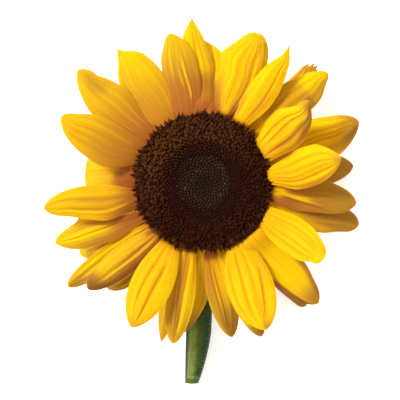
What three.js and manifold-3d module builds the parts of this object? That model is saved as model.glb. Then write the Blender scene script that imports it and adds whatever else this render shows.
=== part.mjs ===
// A sunflower bloom on a short cut stem, lying on its back with its face up.
// Units are millimetres. +Z is up, and +Y runs from the stem's cut end towards the top of the bloom.
// The origin is on the surface that the bloom lies on, under the middle of its outline.
// The parts are built about the bloom's own axis, and the whole group is moved to that origin at the end.

import * as THREE from "three";
import { mergeVertices } from "three/addons/utils/BufferGeometryUtils.js";
import Module from "manifold-3d";

const wasm = await Module();
wasm.setup();

// ---------------------------------------------------------------- driving dimensions

const CLEARANCE = 0.3; // left between pieces that touch
const GOLDEN_ANGLE = Math.PI * (3 - Math.sqrt(5)); // turn from one floret to the next

// The receptacle is the fleshy base of the bloom: a funnel that flares from the neck to an upright rim.
const RECEPTACLE = {
  radius: 31.5,
  top: 34,
  rimBottom: 24,
  neckBottom: 19,
  neckRadius: 7.2,
  segments: 64,
};

// The stem drops from the neck, bends a quarter turn and lies along the surface. Towards its cut end it
// narrows on its right and its top, while its left and its underside stay straight.
const STEM = {
  neckRadius: 6.8,
  radius: 6.3,
  cutRadius: 3.4,
  cutX: -2.6,
  cutY: -99.4,
  taperLength: 27,
  taperPower: 1.6,
  segments: 12,
  rings: 26,
};

// The florets fill the face: open ones in a raised ring, tight buds in a hollow in the middle.
const FACE = {
  budRadius: 13,
  crestRadius: 26,
  rimRadius: 33,
  crest: 42,
  budHeight: 39,
  hollow: 37.6,
  segments: 34,
};
const FLORETS = { spacing: 2.45, radius: 1.75, height: 3.6, sides: 5, sunk: 1.2, splay: 0.62 };
const BUDS = { spacing: 1.72, radius: 1.15, height: 1.9, sides: 4, sunk: 0.7, splay: 0.1 };

// Petals leave the rim one above another: each tier down starts lower and ends much lower.
const PETALS = {
  topRoot: 32.7,
  tierStep: 1.45,
  topRise: 14,
  tierDrop: 9,
  arch: 8,
  cup: -1.6,
  thickness: 0.7,
  rootWidth: 0.36,
  across: 4,
  along: 9,
};
const RESTING_TIP = 0.45; // height of a tip that touches the surface

// Bracts are the green leaves behind the petals, in two rows.
const INNER_BRACTS = { count: 13, firstBearing: 283.8, length: 23, half: 6.8, tip: 2.6, root: 24.9 };
const OUTER_BRACTS = { count: 8, firstBearing: 292.5, length: 20, half: 5.4, tip: 1.2, rootRadius: 24.5 };
const BRACT = { thickness: 0.9, cup: -1, across: 2, along: 6, rootWidth: 0.8, widest: 0.3, point: 1.15 };

// ---------------------------------------------------------------- petals of this bloom

/**
 * One petal. Bearings are in degrees, anticlockwise from +X, at its root and its tip. Reach is how far
 * its tip lies from the bloom's axis, and half is half its greatest width. Tier 0 is the front.
 * shape may name: rise, the tip's height over the root, arch, how far it bows up on the way, cup, how far
 * its edges stand over its middle, roll, how far its left edge stands over its middle, bow, how far it
 * bends to its left, widest, where along it that is, point, 0.5 for a blunt tip to 1 for a sharp one, and
 * rootWidth, its width at the root as a share of its greatest.
 */
function petal(root, tip, reach, half, tier, shape = {}) {
  const rise = shape.rests ? null : PETALS.topRise - PETALS.tierDrop * tier;
  const defaults = { rise, arch: PETALS.arch, cup: PETALS.cup, roll: 0, bow: 0, widest: 0.5, point: 0.66 };
  return { root, tip, reach, half, tier, ...defaults, ...shape };
}

const PETAL_LIST = [
  petal(5.5, 9.7, 64.6, 9.5, 0.2, { rise: 23, arch: 13, cup: -3.2, bow: -0.4, point: 0.52 }),
  petal(19, 21.4, 79.9, 9.4, 1.7, { bow: -1.5, widest: 0.62, point: 0.5 }),
  petal(28.6, 37.3, 63.2, 8.5, 0, { rise: 24, arch: 14, cup: -3.4, bow: -0.6, point: 0.5 }),
  petal(44, 41, 79.3, 9, 2.3, { bow: 0.5, widest: 0.57, point: 0.5 }),
  petal(51, 46.6, 78, 6.8, 3.7, { rests: true, point: 0.35 }),
  petal(58.5, 57.5, 76, 7, 0.3, { bow: -1.3, widest: 0.42, point: 1.25 }),
  petal(66, 69.1, 76.9, 8.5, 2.2, { widest: 0.6, point: 0.5 }),
  petal(74.4, 70.6, 75.3, 9, 1.1, { point: 0.6 }),
  petal(83, 86, 69, 8, 3.9, { rests: true, widest: 0.6, point: 0.4 }),
  petal(92.5, 93.8, 80.6, 7.2, 3.1, { bow: 0.6, widest: 0.42, point: 1 }),
  petal(102, 102.6, 73.4, 9, 2.1, { bow: -1.2, point: 0.55 }),
  petal(120, 122.7, 75.7, 9.8, 1.5, { bow: -1.5, widest: 0.55, point: 0.8, rootWidth: 0.42 }),
  petal(138, 138.2, 79.3, 8.8, 0.8, { bow: 2, point: 0.6, rootWidth: 0.5 }),
  petal(155.5, 155.4, 73.1, 10, 0, { bow: 1.9, point: 0.62, rootWidth: 0.5 }),
  petal(176, 176, 57.8, 8.6, 2.3, { rise: -14, arch: 12, widest: 0.7, point: 0.3, rootWidth: 0.6 }),
  petal(193.5, 189.3, 75.8, 7.9, 0.3, { bow: -0.5, point: 0.6, rootWidth: 0.5 }),
  petal(203, 198.6, 66, 7, 3.3),
  petal(208, 202.2, 76.3, 7, 1.5, { bow: 0.8, point: 0.6 }),
  petal(214, 210.1, 70.8, 7.5, 3.8, { rests: true, point: 0.5 }),
  petal(221, 217.6, 82.5, 5.6, 2.4, { cup: 1.2, point: 0.5 }),
  petal(228, 223, 73.2, 7, 0.8, { point: 0.6 }),
  petal(233.5, 226.8, 69.4, 8.4, 2.6, { widest: 0.6, point: 0.45 }),
  petal(242.4, 243.9, 76, 9.8, 0.1, { point: 0.68 }),
  petal(252, 255.3, 82, 5, 3.6, { rests: true, point: 0.9 }),
  petal(258, 259.5, 78.3, 6.6, 1.3, { point: 0.55 }),
  petal(268, 264, 71.5, 7, 3),
  petal(277, 280.6, 76, 7, 2.2, { point: 0.6 }),
  petal(287, 290.8, 78.8, 7, 1.4, { point: 0.6 }),
  petal(299, 293, 75.4, 10.8, 0.1, { point: 0.62 }),
  petal(307, 309.9, 80, 6.6, 3.7, { rests: true, bow: 1.4, point: 0.4 }),
  petal(311.5, 313.5, 79.5, 8.8, 1.7, { bow: 0.6, point: 0.6, rootWidth: 0.5 }),
  petal(331, 327.1, 66.2, 8.7, 0, { rise: 23, arch: 12, cup: -2.8, bow: 0.7, point: 0.5, rootWidth: 0.5 }),
  petal(342, 344.9, 78.4, 8.4, 2.6, { point: 0.5 }),
  petal(352, 352.2, 74.2, 8.8, 1.5, { point: 0.52 }),
  petal(2, 6.4, 75.7, 7.6, 3.5, { rests: true, point: 0.5 }),
];

// ---------------------------------------------------------------- materials

const MATERIALS = {
  petal: new THREE.MeshStandardMaterial({ color: 0xf9bd12, roughness: 0.6, metalness: 0 }),
  floret: new THREE.MeshStandardMaterial({ color: 0x3a1a0c, roughness: 0.85, metalness: 0 }),
  bud: new THREE.MeshStandardMaterial({ color: 0x2d2a17, roughness: 0.7, metalness: 0 }),
  bract: new THREE.MeshStandardMaterial({ color: 0x4f7030, roughness: 0.7, metalness: 0 }),
  stem: new THREE.MeshStandardMaterial({ color: 0x55702f, roughness: 0.65, metalness: 0 }),
};

// ---------------------------------------------------------------- solids

/** The geometry with only its corners kept and shared, as a closed solid needs. */
function closed(geometry) {
  const bare = new THREE.BufferGeometry();
  bare.setAttribute("position", geometry.getAttribute("position"));
  bare.setIndex(geometry.getIndex());
  return mergeVertices(bare, 1e-4);
}

/** A geometry as a solid that can be joined to another. */
function solidFrom(geometry) {
  const shared = closed(geometry);
  const vertProperties = shared.getAttribute("position").array;
  const triVerts = new Uint32Array(shared.getIndex().array);
  return new wasm.Manifold(new wasm.Mesh({ numProp: 3, vertProperties, triVerts }));
}

/** A joined solid as a geometry. */
function geometryFrom(solid) {
  const mesh = solid.getMesh();
  const geometry = new THREE.BufferGeometry();
  geometry.setAttribute("position", new THREE.BufferAttribute(mesh.vertProperties, 3));
  geometry.setIndex(new THREE.BufferAttribute(mesh.triVerts, 1));
  return geometry;
}

/** A turned solid about +Z from its profile of [radius, height] points, listed from the bottom up. */
function turned(profile, segments) {
  const points = profile.map(([radius, height]) => new THREE.Vector2(radius, height));
  return new THREE.LatheGeometry(points, segments).rotateX(Math.PI / 2);
}

function namedMesh(name, geometry, material) {
  const mesh = new THREE.Mesh(geometry, material);
  mesh.name = name;
  return mesh;
}

function polar(radius, bearing) {
  const angle = THREE.MathUtils.degToRad(bearing);
  return new THREE.Vector2(radius * Math.cos(angle), radius * Math.sin(angle));
}

// ---------------------------------------------------------------- receptacle and stem

/** Height of the receptacle's underside at a distance from the axis: a quarter wave from neck to rim. */
function undersideAt(radius) {
  const share = THREE.MathUtils.clamp(
    (radius - RECEPTACLE.neckRadius) / (RECEPTACLE.radius - RECEPTACLE.neckRadius), 0, 1);
  const flare = 0.5 * share + 0.5 * share ** 3;
  return THREE.MathUtils.lerp(RECEPTACLE.neckBottom, RECEPTACLE.rimBottom, flare);
}

function receptacle() {
  const flankSteps = 5;
  const flank = Array.from({ length: flankSteps + 1 }, (_, i) => {
    const radius = THREE.MathUtils.lerp(RECEPTACLE.neckRadius, RECEPTACLE.radius, i / flankSteps);
    return [radius, undersideAt(radius)];
  });
  const { radius, top, neckBottom } = RECEPTACLE;
  const profile = [[0, neckBottom], ...flank, [radius, top], [0, top]];
  return namedMesh("receptacle", turned(profile, RECEPTACLE.segments), MATERIALS.bract);
}

/** The stem's centreline before it narrows: down from the neck, round a quarter turn, then to the cut. */
function stemCurve() {
  const top = RECEPTACLE.neckBottom - CLEARANCE;
  const bend = top - STEM.radius;
  const quarter = 0.5523; // handle length of a Bezier curve that follows a quarter circle
  const sway = (-STEM.cutY - bend) * 0.4;
  const path = new THREE.CurvePath();
  path.add(new THREE.CubicBezierCurve3(
    new THREE.Vector3(0, 0, top),
    new THREE.Vector3(0, 0, top - bend * quarter),
    new THREE.Vector3(0, -bend * (1 - quarter), STEM.radius),
    new THREE.Vector3(0, -bend, STEM.radius),
  ));
  path.add(new THREE.CubicBezierCurve3(
    new THREE.Vector3(0, -bend, STEM.radius),
    new THREE.Vector3(0, -bend - sway, STEM.radius),
    new THREE.Vector3(STEM.cutX, STEM.cutY + sway, STEM.radius),
    new THREE.Vector3(STEM.cutX, STEM.cutY, STEM.radius),
  ));
  return path;
}

/** A cylinder wrapped round the centreline. Where it narrows, its middle moves left and down as much. */
function stem() {
  const path = stemCurve();
  const geometry = new THREE.CylinderGeometry(1, 1, 1, STEM.segments, STEM.rings);
  const position = geometry.getAttribute("position");
  const sideways = new THREE.Vector3(1, 0, 0);
  for (let i = 0; i < position.count; i += 1) {
    const share = 0.5 - position.getY(i);
    const centre = path.getPointAt(share);
    const tangent = path.getTangentAt(share);
    const upright = Math.max(0, -tangent.z);
    const taper = Math.max(0, 1 - (centre.y - STEM.cutY) / STEM.taperLength);
    const lost = (STEM.radius - STEM.cutRadius) * taper ** STEM.taperPower;
    const radius = STEM.radius - lost + (STEM.neckRadius - STEM.radius) * upright;
    const side = sideways.clone().addScaledVector(tangent, -sideways.dot(tangent)).normalize();
    const outward = new THREE.Vector3().crossVectors(side, tangent);
    const point = centre
      .add(new THREE.Vector3(-lost, 0, -lost))
      .addScaledVector(side, radius * position.getX(i))
      .addScaledVector(outward, -radius * position.getZ(i));
    position.setXYZ(i, point.x, point.y, point.z);
  }
  return namedMesh("stem", geometry, MATERIALS.stem);
}

// ---------------------------------------------------------------- face

/** Height of the bloom's face at a distance from its axis. */
function faceAt(radius) {
  const { budRadius, crestRadius, rimRadius, crest, budHeight, hollow } = FACE;
  if (radius < budRadius) return THREE.MathUtils.lerp(hollow, budHeight, (radius / budRadius) ** 2);
  if (radius < crestRadius) {
    const share = (radius - budRadius) / (crestRadius - budRadius);
    return THREE.MathUtils.lerp(budHeight, crest, Math.sin((share * Math.PI) / 2));
  }
  const fall = (radius - crestRadius) / (rimRadius - crestRadius);
  return crest - 3.2 * fall * fall;
}

/** Spiked floret solids on a spiral, between two distances from the axis. */
function florets(kind, from, to) {
  const made = [];
  const last = Math.floor((to / kind.spacing) ** 2);
  for (let n = Math.ceil((from / kind.spacing) ** 2); n <= last; n += 1) {
    const radius = kind.spacing * Math.sqrt(n);
    const lean = kind.splay * (radius / FACE.rimRadius) ** 3;
    const cone = new THREE.ConeGeometry(kind.radius, kind.height, kind.sides)
      .translate(0, kind.height / 2 - kind.sunk, 0)
      .rotateX(Math.PI / 2)
      .rotateY(lean)
      .translate(radius, 0, faceAt(radius))
      .rotateZ(n * GOLDEN_ANGLE);
    made.push(solidFrom(cone));
  }
  return made;
}

/** The ring of open florets: a turned bowl edge, with the florets joined on. */
function floretRing() {
  const { budRadius, rimRadius, segments } = FACE;
  const foot = RECEPTACLE.top + CLEARANCE;
  const inner = budRadius + CLEARANCE;
  const outer = RECEPTACLE.radius - 0.5;
  const radii = [rimRadius, 30, 26, 21, 16.5, inner];
  const crest = radii.map((radius) => [radius, faceAt(radius)]);
  const profile = [[inner, foot], [outer, foot], [rimRadius - 0.4, foot + 2.2], ...crest, [inner, foot]];
  const ring = solidFrom(turned(profile, segments));
  const joined = wasm.Manifold.union([ring, ...florets(FLORETS, inner + 2, rimRadius - 1.2)]);
  return namedMesh("disc_florets", geometryFrom(joined), MATERIALS.floret);
}

/** The button of tight buds in the middle of the face. */
function budButton() {
  const { budRadius, budHeight, hollow } = FACE;
  const foot = RECEPTACLE.top + CLEARANCE;
  const profile = [[0, foot], [budRadius, foot], [budRadius, budHeight], [budRadius / 2, faceAt(budRadius / 2)],
    [0, hollow]];
  const button = solidFrom(turned(profile, FACE.segments));
  const joined = wasm.Manifold.union([button, ...florets(BUDS, 0.5, budRadius - 1.3)]);
  return namedMesh("disc_buds", geometryFrom(joined), MATERIALS.bud);
}

// ---------------------------------------------------------------- blades

/** Half a blade's width at a share of its length: from a narrow root to its widest, then in to the tip. */
function halfWidthAt(blade, share) {
  const tipHalf = 0.35;
  if (share < blade.widest) {
    const swell = Math.sin((share / blade.widest) * (Math.PI / 2));
    return blade.half * THREE.MathUtils.lerp(blade.rootWidth, 1, swell);
  }
  const fall = (share - blade.widest) / (1 - blade.widest);
  return Math.max(tipHalf, blade.half * Math.max(0, 1 - fall ** 2.1) ** blade.point);
}

/** A point of a blade's middle surface, in the blade's own frame: root at the origin, running along +X. */
function bladePoint(blade, share, across) {
  const halfWidth = halfWidthAt(blade, share);
  const spread = halfWidth / blade.half;
  const climb = blade.rise + blade.arch;
  return new THREE.Vector3(
    blade.length * share,
    halfWidth * across + blade.bow * 4 * share * (1 - share),
    climb * share - blade.arch * share * share + spread * (blade.cup * across * across + blade.roll * across),
  );
}

/** A thin closed blade: a flat box whose corners are moved on to both sides of the middle surface. */
function bladeGeometry(blade) {
  const geometry = new THREE.BoxGeometry(1, 2, 1, blade.along, blade.across, 1);
  const position = geometry.getAttribute("position");
  const step = 1e-3;
  for (let i = 0; i < position.count; i += 1) {
    const share = position.getX(i) + 0.5;
    const across = position.getY(i);
    const point = bladePoint(blade, share, across);
    const ahead = bladePoint(blade, share + (share < 0.5 ? step : -step), across).sub(point);
    const aside = bladePoint(blade, share, across + (across < 0 ? step : -step)).sub(point);
    const normal = new THREE.Vector3().crossVectors(ahead, aside).normalize();
    normal.multiplyScalar(Math.sign(normal.z) * blade.thickness * position.getZ(i));
    point.add(normal);
    position.setXYZ(i, point.x, point.y, point.z);
  }
  return closed(geometry);
}

/** How far a blade's lower corner stands behind its root, because the blade leaves its root at a slope. */
function heel(blade) {
  const slope = Math.abs(blade.rise + blade.arch) / blade.length;
  return (blade.thickness / 2) * (slope / Math.hypot(1, slope));
}

/** Sets a blade's mesh with its root at a place, heading along a bearing in radians. */
function bladeMesh(name, blade, place, heading, material) {
  const mesh = namedMesh(name, bladeGeometry(blade), material);
  mesh.position.copy(place);
  mesh.rotation.z = heading;
  return mesh;
}

function petalMesh(entry, index) {
  const height = PETALS.topRoot - PETALS.tierStep * entry.tier;
  const rise = entry.rise ?? RESTING_TIP - height;
  const seat = RECEPTACLE.radius + CLEARANCE;
  const tip = polar(entry.reach, entry.tip);
  const length = tip.distanceTo(polar(seat, entry.root));
  const blade = { ...PETALS, ...entry, rise, length };
  const aim = tip.clone().sub(polar(seat, entry.root)).angle();
  const skew = Math.abs(Math.sin(aim - THREE.MathUtils.degToRad(entry.root)));
  const root = polar(seat + heel(blade) + blade.half * blade.rootWidth * skew, entry.root);
  const run = tip.sub(root);
  blade.length = run.length();
  const place = new THREE.Vector3(root.x, root.y, height);
  const name = `petal_${String(index + 1).padStart(2, "0")}`;
  return bladeMesh(name, blade, place, run.angle(), MATERIALS.petal);
}

function bractMeshes() {
  const outerHeight = undersideAt(OUTER_BRACTS.rootRadius) - CLEARANCE - BRACT.thickness / 2;
  const rows = [
    { ...INNER_BRACTS, rootRadius: RECEPTACLE.radius + CLEARANCE, height: INNER_BRACTS.root, arch: 12,
      name: "bract_inner" },
    { ...OUTER_BRACTS, height: outerHeight, arch: 20, name: "bract_outer" },
  ];
  return rows.flatMap((row) => Array.from({ length: row.count }, (_, i) => {
    const bearing = row.firstBearing + (360 / row.count) * i;
    const blade = { ...BRACT, ...row, rise: row.tip - row.height, roll: 0, bow: 0 };
    const root = polar(row.rootRadius + heel(blade), bearing);
    const place = new THREE.Vector3(root.x, root.y, row.height);
    const name = `${row.name}_${String(i + 1).padStart(2, "0")}`;
    return bladeMesh(name, blade, place, THREE.MathUtils.degToRad(bearing), MATERIALS.bract);
  }));
}

// ---------------------------------------------------------------- assembly

const bloom = new THREE.Group();
bloom.add(stem(), receptacle(), floretRing(), budButton());
bloom.add(...PETAL_LIST.map(petalMesh), ...bractMeshes());

const outline = new THREE.Box3().setFromObject(bloom, true);
const middle = outline.getCenter(new THREE.Vector3());
bloom.position.set(-middle.x, -middle.y, -outline.min.z);

const sunflower = new THREE.Group();
sunflower.add(bloom);

export default sunflower;
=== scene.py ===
"""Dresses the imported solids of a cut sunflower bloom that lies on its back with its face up.

Sizes are millimetres about the bloom's own axis, with +Z up, until a mesh is placed in the frame.
"""

from __future__ import annotations

import logging
import math
import sys
from dataclasses import dataclass, replace
from enum import Enum
from typing import Mapping, Optional, Sequence, Union

import bpy
import numpy as np
from mathutils import Matrix, Vector

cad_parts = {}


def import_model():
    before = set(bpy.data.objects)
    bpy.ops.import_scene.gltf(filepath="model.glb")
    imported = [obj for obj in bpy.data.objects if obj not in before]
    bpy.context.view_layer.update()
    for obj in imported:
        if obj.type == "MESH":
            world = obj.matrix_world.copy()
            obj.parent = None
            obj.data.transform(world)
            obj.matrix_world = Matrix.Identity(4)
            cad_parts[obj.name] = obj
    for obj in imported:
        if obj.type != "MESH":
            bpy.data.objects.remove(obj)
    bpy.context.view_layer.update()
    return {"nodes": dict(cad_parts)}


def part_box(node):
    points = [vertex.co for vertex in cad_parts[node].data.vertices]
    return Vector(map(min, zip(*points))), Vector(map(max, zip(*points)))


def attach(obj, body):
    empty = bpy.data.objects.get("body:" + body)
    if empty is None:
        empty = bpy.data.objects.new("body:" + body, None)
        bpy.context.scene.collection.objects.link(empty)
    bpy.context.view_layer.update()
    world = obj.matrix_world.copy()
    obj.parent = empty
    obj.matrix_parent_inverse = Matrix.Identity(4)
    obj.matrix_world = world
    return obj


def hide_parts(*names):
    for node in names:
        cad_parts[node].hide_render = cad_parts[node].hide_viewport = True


LOG = logging.getLogger("sunflower")
MM = 0.001
BODY = "root"
FULL_TURN = 2.0 * math.pi
GOLDEN_ANGLE = math.pi * (3.0 - math.sqrt(5.0))

Array = np.ndarray
Colour = tuple[float, float, float, float]
Point = tuple[float, float, float]
Stops = tuple[tuple[float, float], ...]
Socket = bpy.types.NodeSocket
Feed = Union[float, Sequence[float], Socket]


class Slot(str, Enum):
    """The material slots."""

    PETAL = "petal"
    FLORET = "floret"
    BUD = "bud"
    BRACT = "bract"
    STEM = "stem"


class Tip(Enum):
    """How a petal ends, with half the width of its very end (mm)."""

    PLAIN = 0.35
    NOTCHED = 1.6
    TOOTHED = 3.4


class Side(Enum):
    """A petal's side, seen from its root with its face up."""

    LEFT = 1
    RIGHT = -1


def ease(low: float, high: float, value: Array) -> Array:
    """A smooth step from 0 at low to 1 at high."""
    share = np.clip((np.asarray(value, float) - low) / (high - low), 0.0, 1.0)
    return share * share * (3.0 - 2.0 * share)


def hump(value: Array, middle: float, spread: float) -> Array:
    """A smooth hump that is 1 at its middle and fades over its spread."""
    return np.exp(-(((value - middle) / spread) ** 2))


def polar(radius: float, bearing: float) -> Array:
    """The point at a distance and a bearing in degrees from the bloom's axis."""
    angle = math.radians(bearing)
    return np.array([radius * math.cos(angle), radius * math.sin(angle)])


def spokes(count: int) -> Array:
    """Evenly spaced angles round a full turn, in radians."""
    return np.arange(count) * FULL_TURN / count


def turned(reach: Array, height: Array, angle: Array) -> Array:
    """Rings of points, as (ring, place round it, xyz), at distances and heights about the axis."""
    return np.stack([reach * np.cos(angle), reach * np.sin(angle), height + 0 * angle], -1)


# ------------------------------------------------------------------ node trees


@dataclass(frozen=True)
class Wiring:
    """Adds nodes to a shader or geometry tree and joins them as they are added."""

    tree: bpy.types.NodeTree

    def feed(self, node: bpy.types.Node, inputs: Mapping[Union[str, int], Feed]) -> None:
        """Sets or joins a node's inputs.

        Args:
            node: The node.
            inputs: A value or another node's socket for each input, by name or index.
        """
        for key, value in inputs.items():
            if isinstance(value, Socket):
                self.tree.links.new(value, node.inputs[key])
            else:
                node.inputs[key].default_value = value

    def add(self, kind: str, inputs: Optional[Mapping] = None, **settings: object) -> bpy.types.Node:
        """Adds one node.

        Args:
            kind: The node's type name.
            inputs: A value or another node's socket for each input, by name or index.
            settings: The node's own properties.

        Returns:
            The node.
        """
        node = self.tree.nodes.new(kind)
        for name, value in settings.items():
            setattr(node, name, value)
        self.feed(node, inputs or {})
        return node

    def math(self, operation: str, *values: Feed, clamp: bool = False) -> Socket:
        """The result of one operation on numbers or sockets."""
        node = self.add("ShaderNodeMath", dict(enumerate(values)), operation=operation, use_clamp=clamp)
        return node.outputs[0]

    def times(self, first: Feed, second: Feed, clamp: bool = False) -> Socket:
        """Two numbers multiplied."""
        return self.math("MULTIPLY", first, second, clamp=clamp)

    def plus(self, first: Feed, second: Feed) -> Socket:
        """Two numbers added."""
        return self.math("ADD", first, second)

    def vector(self, x: Feed, y: Feed, z: Feed = 0.0) -> Socket:
        """A vector of three numbers."""
        return self.add("ShaderNodeCombineXYZ", {0: x, 1: y, 2: z}).outputs[0]

    def moved(self, first: Feed, second: Feed) -> Socket:
        """Two vectors added."""
        return self.add("ShaderNodeVectorMath", {0: first, 1: second}, operation="ADD").outputs[0]

    def scaled(self, vector: Feed, by: Feed) -> Socket:
        """A vector made longer or shorter."""
        return self.add("ShaderNodeVectorMath", {0: vector, "Scale": by}, operation="SCALE").outputs[0]

    def blend(self, share: Feed, first: Feed, second: Feed) -> Socket:
        """Two colours mixed, with a share of the second from 0 to 1."""
        return self.add("ShaderNodeMix", {0: share, 6: first, 7: second}, data_type="RGBA").outputs[2]

    def ramp(self, value: Feed, stops: Stops) -> Socket:
        """Maps a number through a ramp.

        Args:
            value: The number, 0 to 1.
            stops: The position and level of each of the ramp's stops.

        Returns:
            The level.
        """
        node = self.add("ShaderNodeValToRGB", {0: value})
        points = node.color_ramp.elements
        while len(points) < len(stops):
            points.new(1.0)
        for point, (position, level) in zip(points, stops):
            point.position = position
            point.color = (level, level, level, 1.0)
        return node.outputs[0]

    def named(self, name: str) -> Socket:
        """A number that the mesh carries at each point."""
        return self.add("ShaderNodeAttribute", attribute_name=name).outputs["Fac"]

    def place(self) -> Socket:
        """The place on the piece, in metres."""
        return self.add("ShaderNodeTexCoord").outputs["Object"]

    def noise(self, place: Feed, scale: float, detail: float = 2.0) -> Socket:
        """Cloudy noise between 0 and 1 at a place."""
        return self.add("ShaderNodeTexNoise", {"Vector": place, "Scale": scale, "Detail": detail}).outputs[0]


class Finish:
    """A material made of shader nodes."""

    name: str

    def make(self) -> bpy.types.Material:
        """Makes the material.

        Returns:
            The material, with its colour, roughness and relief wired.
        """
        material = bpy.data.materials.new(self.name)
        material.use_nodes = True
        material.node_tree.nodes.clear()
        wiring = Wiring(material.node_tree)
        shader = wiring.add("ShaderNodeBsdfPrincipled")
        wiring.add("ShaderNodeOutputMaterial", {"Surface": shader.outputs[0]})
        self.dress(wiring, shader)
        return material

    def dress(self, wiring: Wiring, shader: bpy.types.Node) -> None:
        """Wires what differs from finish to finish."""
        raise NotImplementedError

    @staticmethod
    def relief(wiring: Wiring, shader: bpy.types.Node, height: Feed, depth: float, strength: float) -> None:
        """Bumps the surface.

        Args:
            wiring: The material's wiring.
            shader: The shader to bump.
            height: The height's socket, 0 to 1.
            depth: The height of 1, in millimetres.
            strength: The strength of the bump.
        """
        bump = wiring.add("ShaderNodeBump", {"Height": height, "Distance": depth * MM, "Strength": strength})
        wiring.feed(shader, {"Normal": bump.outputs[0]})


@dataclass(frozen=True)
class PetalFinish(Finish):
    """Lemon to golden yellow, finely veined, amber at its root, with painted shade in grooves and where shade
    falls.
    """

    name: str = "petal_yellow"
    lit: Colour = (0.625, 0.45, 0.0015, 1.0)
    golden: Colour = (0.64, 0.335, 0.003, 1.0)
    # groove colours the veins and is also painted shade in the grooves between ribs.
    groove: Colour = (0.52, 0.22, 0.004, 1.0)
    root: Colour = (0.45, 0.16, 0.012, 1.0)
    # These four are painted shade: the amber a petal turns where shade falls, deeper past a full amount, more
    # olive towards the tip.
    shade: Colour = (0.34, 0.115, 0.018, 1.0)
    olive: Colour = (0.32, 0.172, 0.018, 1.0)
    deep_shade: Colour = (0.2, 0.045, 0.01, 1.0)
    tip_deep_shade: Colour = (0.16, 0.068, 0.012, 1.0)
    lit_along: Stops = ((0.0, 0.2), (0.2, 0.65), (0.6, 1.0))
    golden_clouds: Stops = ((0.35, 0.0), (0.7, 0.3))
    vein_lines: Stops = ((0.5, 0.0), (0.72, 0.28))
    # Painted shade in the grooves, where the crest measure is low.
    groove_shade_lines: Stops = ((0.0, 0.8), (0.5, 0.0))
    # Darker amber towards each petal's root, its edge frayed by the veins.
    root_amber_ramp: Stops = ((0.0, 0.45), (0.05, 0.15), (0.14, 0.0))
    # How far the painted shade turns olive towards the tip.
    tip_shade_along: Stops = ((0.1, 0.0), (0.8, 1.0))
    # Painted highlight: less painted shade on the crests of ribs.
    crest_shade: Stops = ((0.6, 1.0), (1.0, 0.35))
    cloud_scale: float = 90.0
    veins_across: float = 26.0
    veins_along: float = 2.2
    veins_apart: float = 17.0
    stain_fray: float = 0.2
    smooth: float = 0.5
    rough: float = 0.2
    glow_reach: Point = (1.0, 0.35, 0.05)

    def dress(self, wiring: Wiring, shader: bpy.types.Node) -> None:
        """Wires the colour, painted shade included, from the petal's own lengthwise and crosswise measures.

        Args:
            wiring: The material's wiring.
            shader: The shader to wire it to.
        """
        along, across = wiring.named("along"), wiring.named("across")
        crest, tone, lot = wiring.named("crest"), wiring.named("tone"), wiring.named("lot")
        cloud = wiring.noise(wiring.place(), self.cloud_scale, 3.0)
        strands = wiring.vector(
            wiring.times(across, self.veins_across), wiring.times(along, self.veins_along),
            wiring.times(lot, self.veins_apart))
        vein = wiring.noise(strands, 1.0)
        colour = wiring.blend(wiring.ramp(along, self.lit_along), self.golden, self.lit)
        colour = wiring.blend(wiring.ramp(cloud, self.golden_clouds), colour, self.golden)
        colour = wiring.blend(wiring.ramp(vein, self.vein_lines), colour, self.groove)
        # Painted shade in the grooves between ribs.
        colour = wiring.blend(wiring.ramp(crest, self.groove_shade_lines), colour, self.groove)
        near = wiring.plus(along, wiring.times(wiring.plus(vein, -0.5), self.stain_fray))
        colour = wiring.blend(wiring.ramp(near, self.root_amber_ramp), colour, self.root)
        far = wiring.ramp(along, self.tip_shade_along)
        # Less painted shade on rib crests, as a painted highlight.
        tone = wiring.times(tone, wiring.ramp(crest, self.crest_shade))
        # Painted shade: amber up to a full amount, deeper past it, more olive towards the tip.
        shade = wiring.blend(far, self.shade, self.olive)
        deep_shade = wiring.blend(far, self.deep_shade, self.tip_deep_shade)
        colour = wiring.blend(wiring.math("MINIMUM", tone, 1.0), colour, shade)
        colour = wiring.blend(wiring.math("SUBTRACT", tone, 1.0, clamp=True), colour, deep_shade)
        wiring.feed(shader, {
            "Base Color": colour, "Roughness": wiring.plus(self.smooth, wiring.times(vein, self.rough)),
            "Specular IOR Level": 0.04, "Subsurface Weight": 0.5, "Subsurface Radius": self.glow_reach,
            "Subsurface Scale": MM})
        self.relief(wiring, shader, vein, 0.25, 0.5)


@dataclass(frozen=True)
class FloretFinish(Finish):
    """Maroon to near-black tufts, gold on the lips and curled ends of open florets, with painted light on one
    side.
    """

    name: str = "floret_maroon"
    deep: Colour = (0.0145, 0.0042, 0.0032, 1.0)
    flesh: Colour = (0.038, 0.008, 0.005, 1.0)
    gold: Colour = (0.2, 0.073, 0.0155, 1.0)
    gold_clouds: Stops = ((0.35, 0.5), (0.65, 1.0))
    gold_lots: Stops = ((0.0, 0.5), (1.0, 1.0))
    cloud_scale: float = 420.0
    grain_scale: float = 2200.0

    def dress(self, wiring: Wiring, shader: bpy.types.Node) -> None:
        """Wires the colour from each floret's own lot and the gold and painted light of its place.

        Args:
            wiring: The material's wiring.
            shader: The shader to wire it to.
        """
        lip, lot, gilt = wiring.named("lip"), wiring.named("lot"), wiring.named("gilt")
        place = wiring.place()
        cloud = wiring.ramp(wiring.noise(place, self.cloud_scale), self.gold_clouds)
        rich = wiring.times(wiring.ramp(lot, self.gold_lots), cloud)
        gold = wiring.times(wiring.times(lip, gilt), rich, clamp=True)
        colour = wiring.blend(gold, wiring.blend(lot, self.deep, self.flesh), self.gold)
        wiring.feed(shader, {"Base Color": colour, "Roughness": 0.8, "Specular IOR Level": 0.03})
        self.relief(wiring, shader, wiring.noise(place, self.grain_scale, 1.0), 0.08, 0.5)


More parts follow.
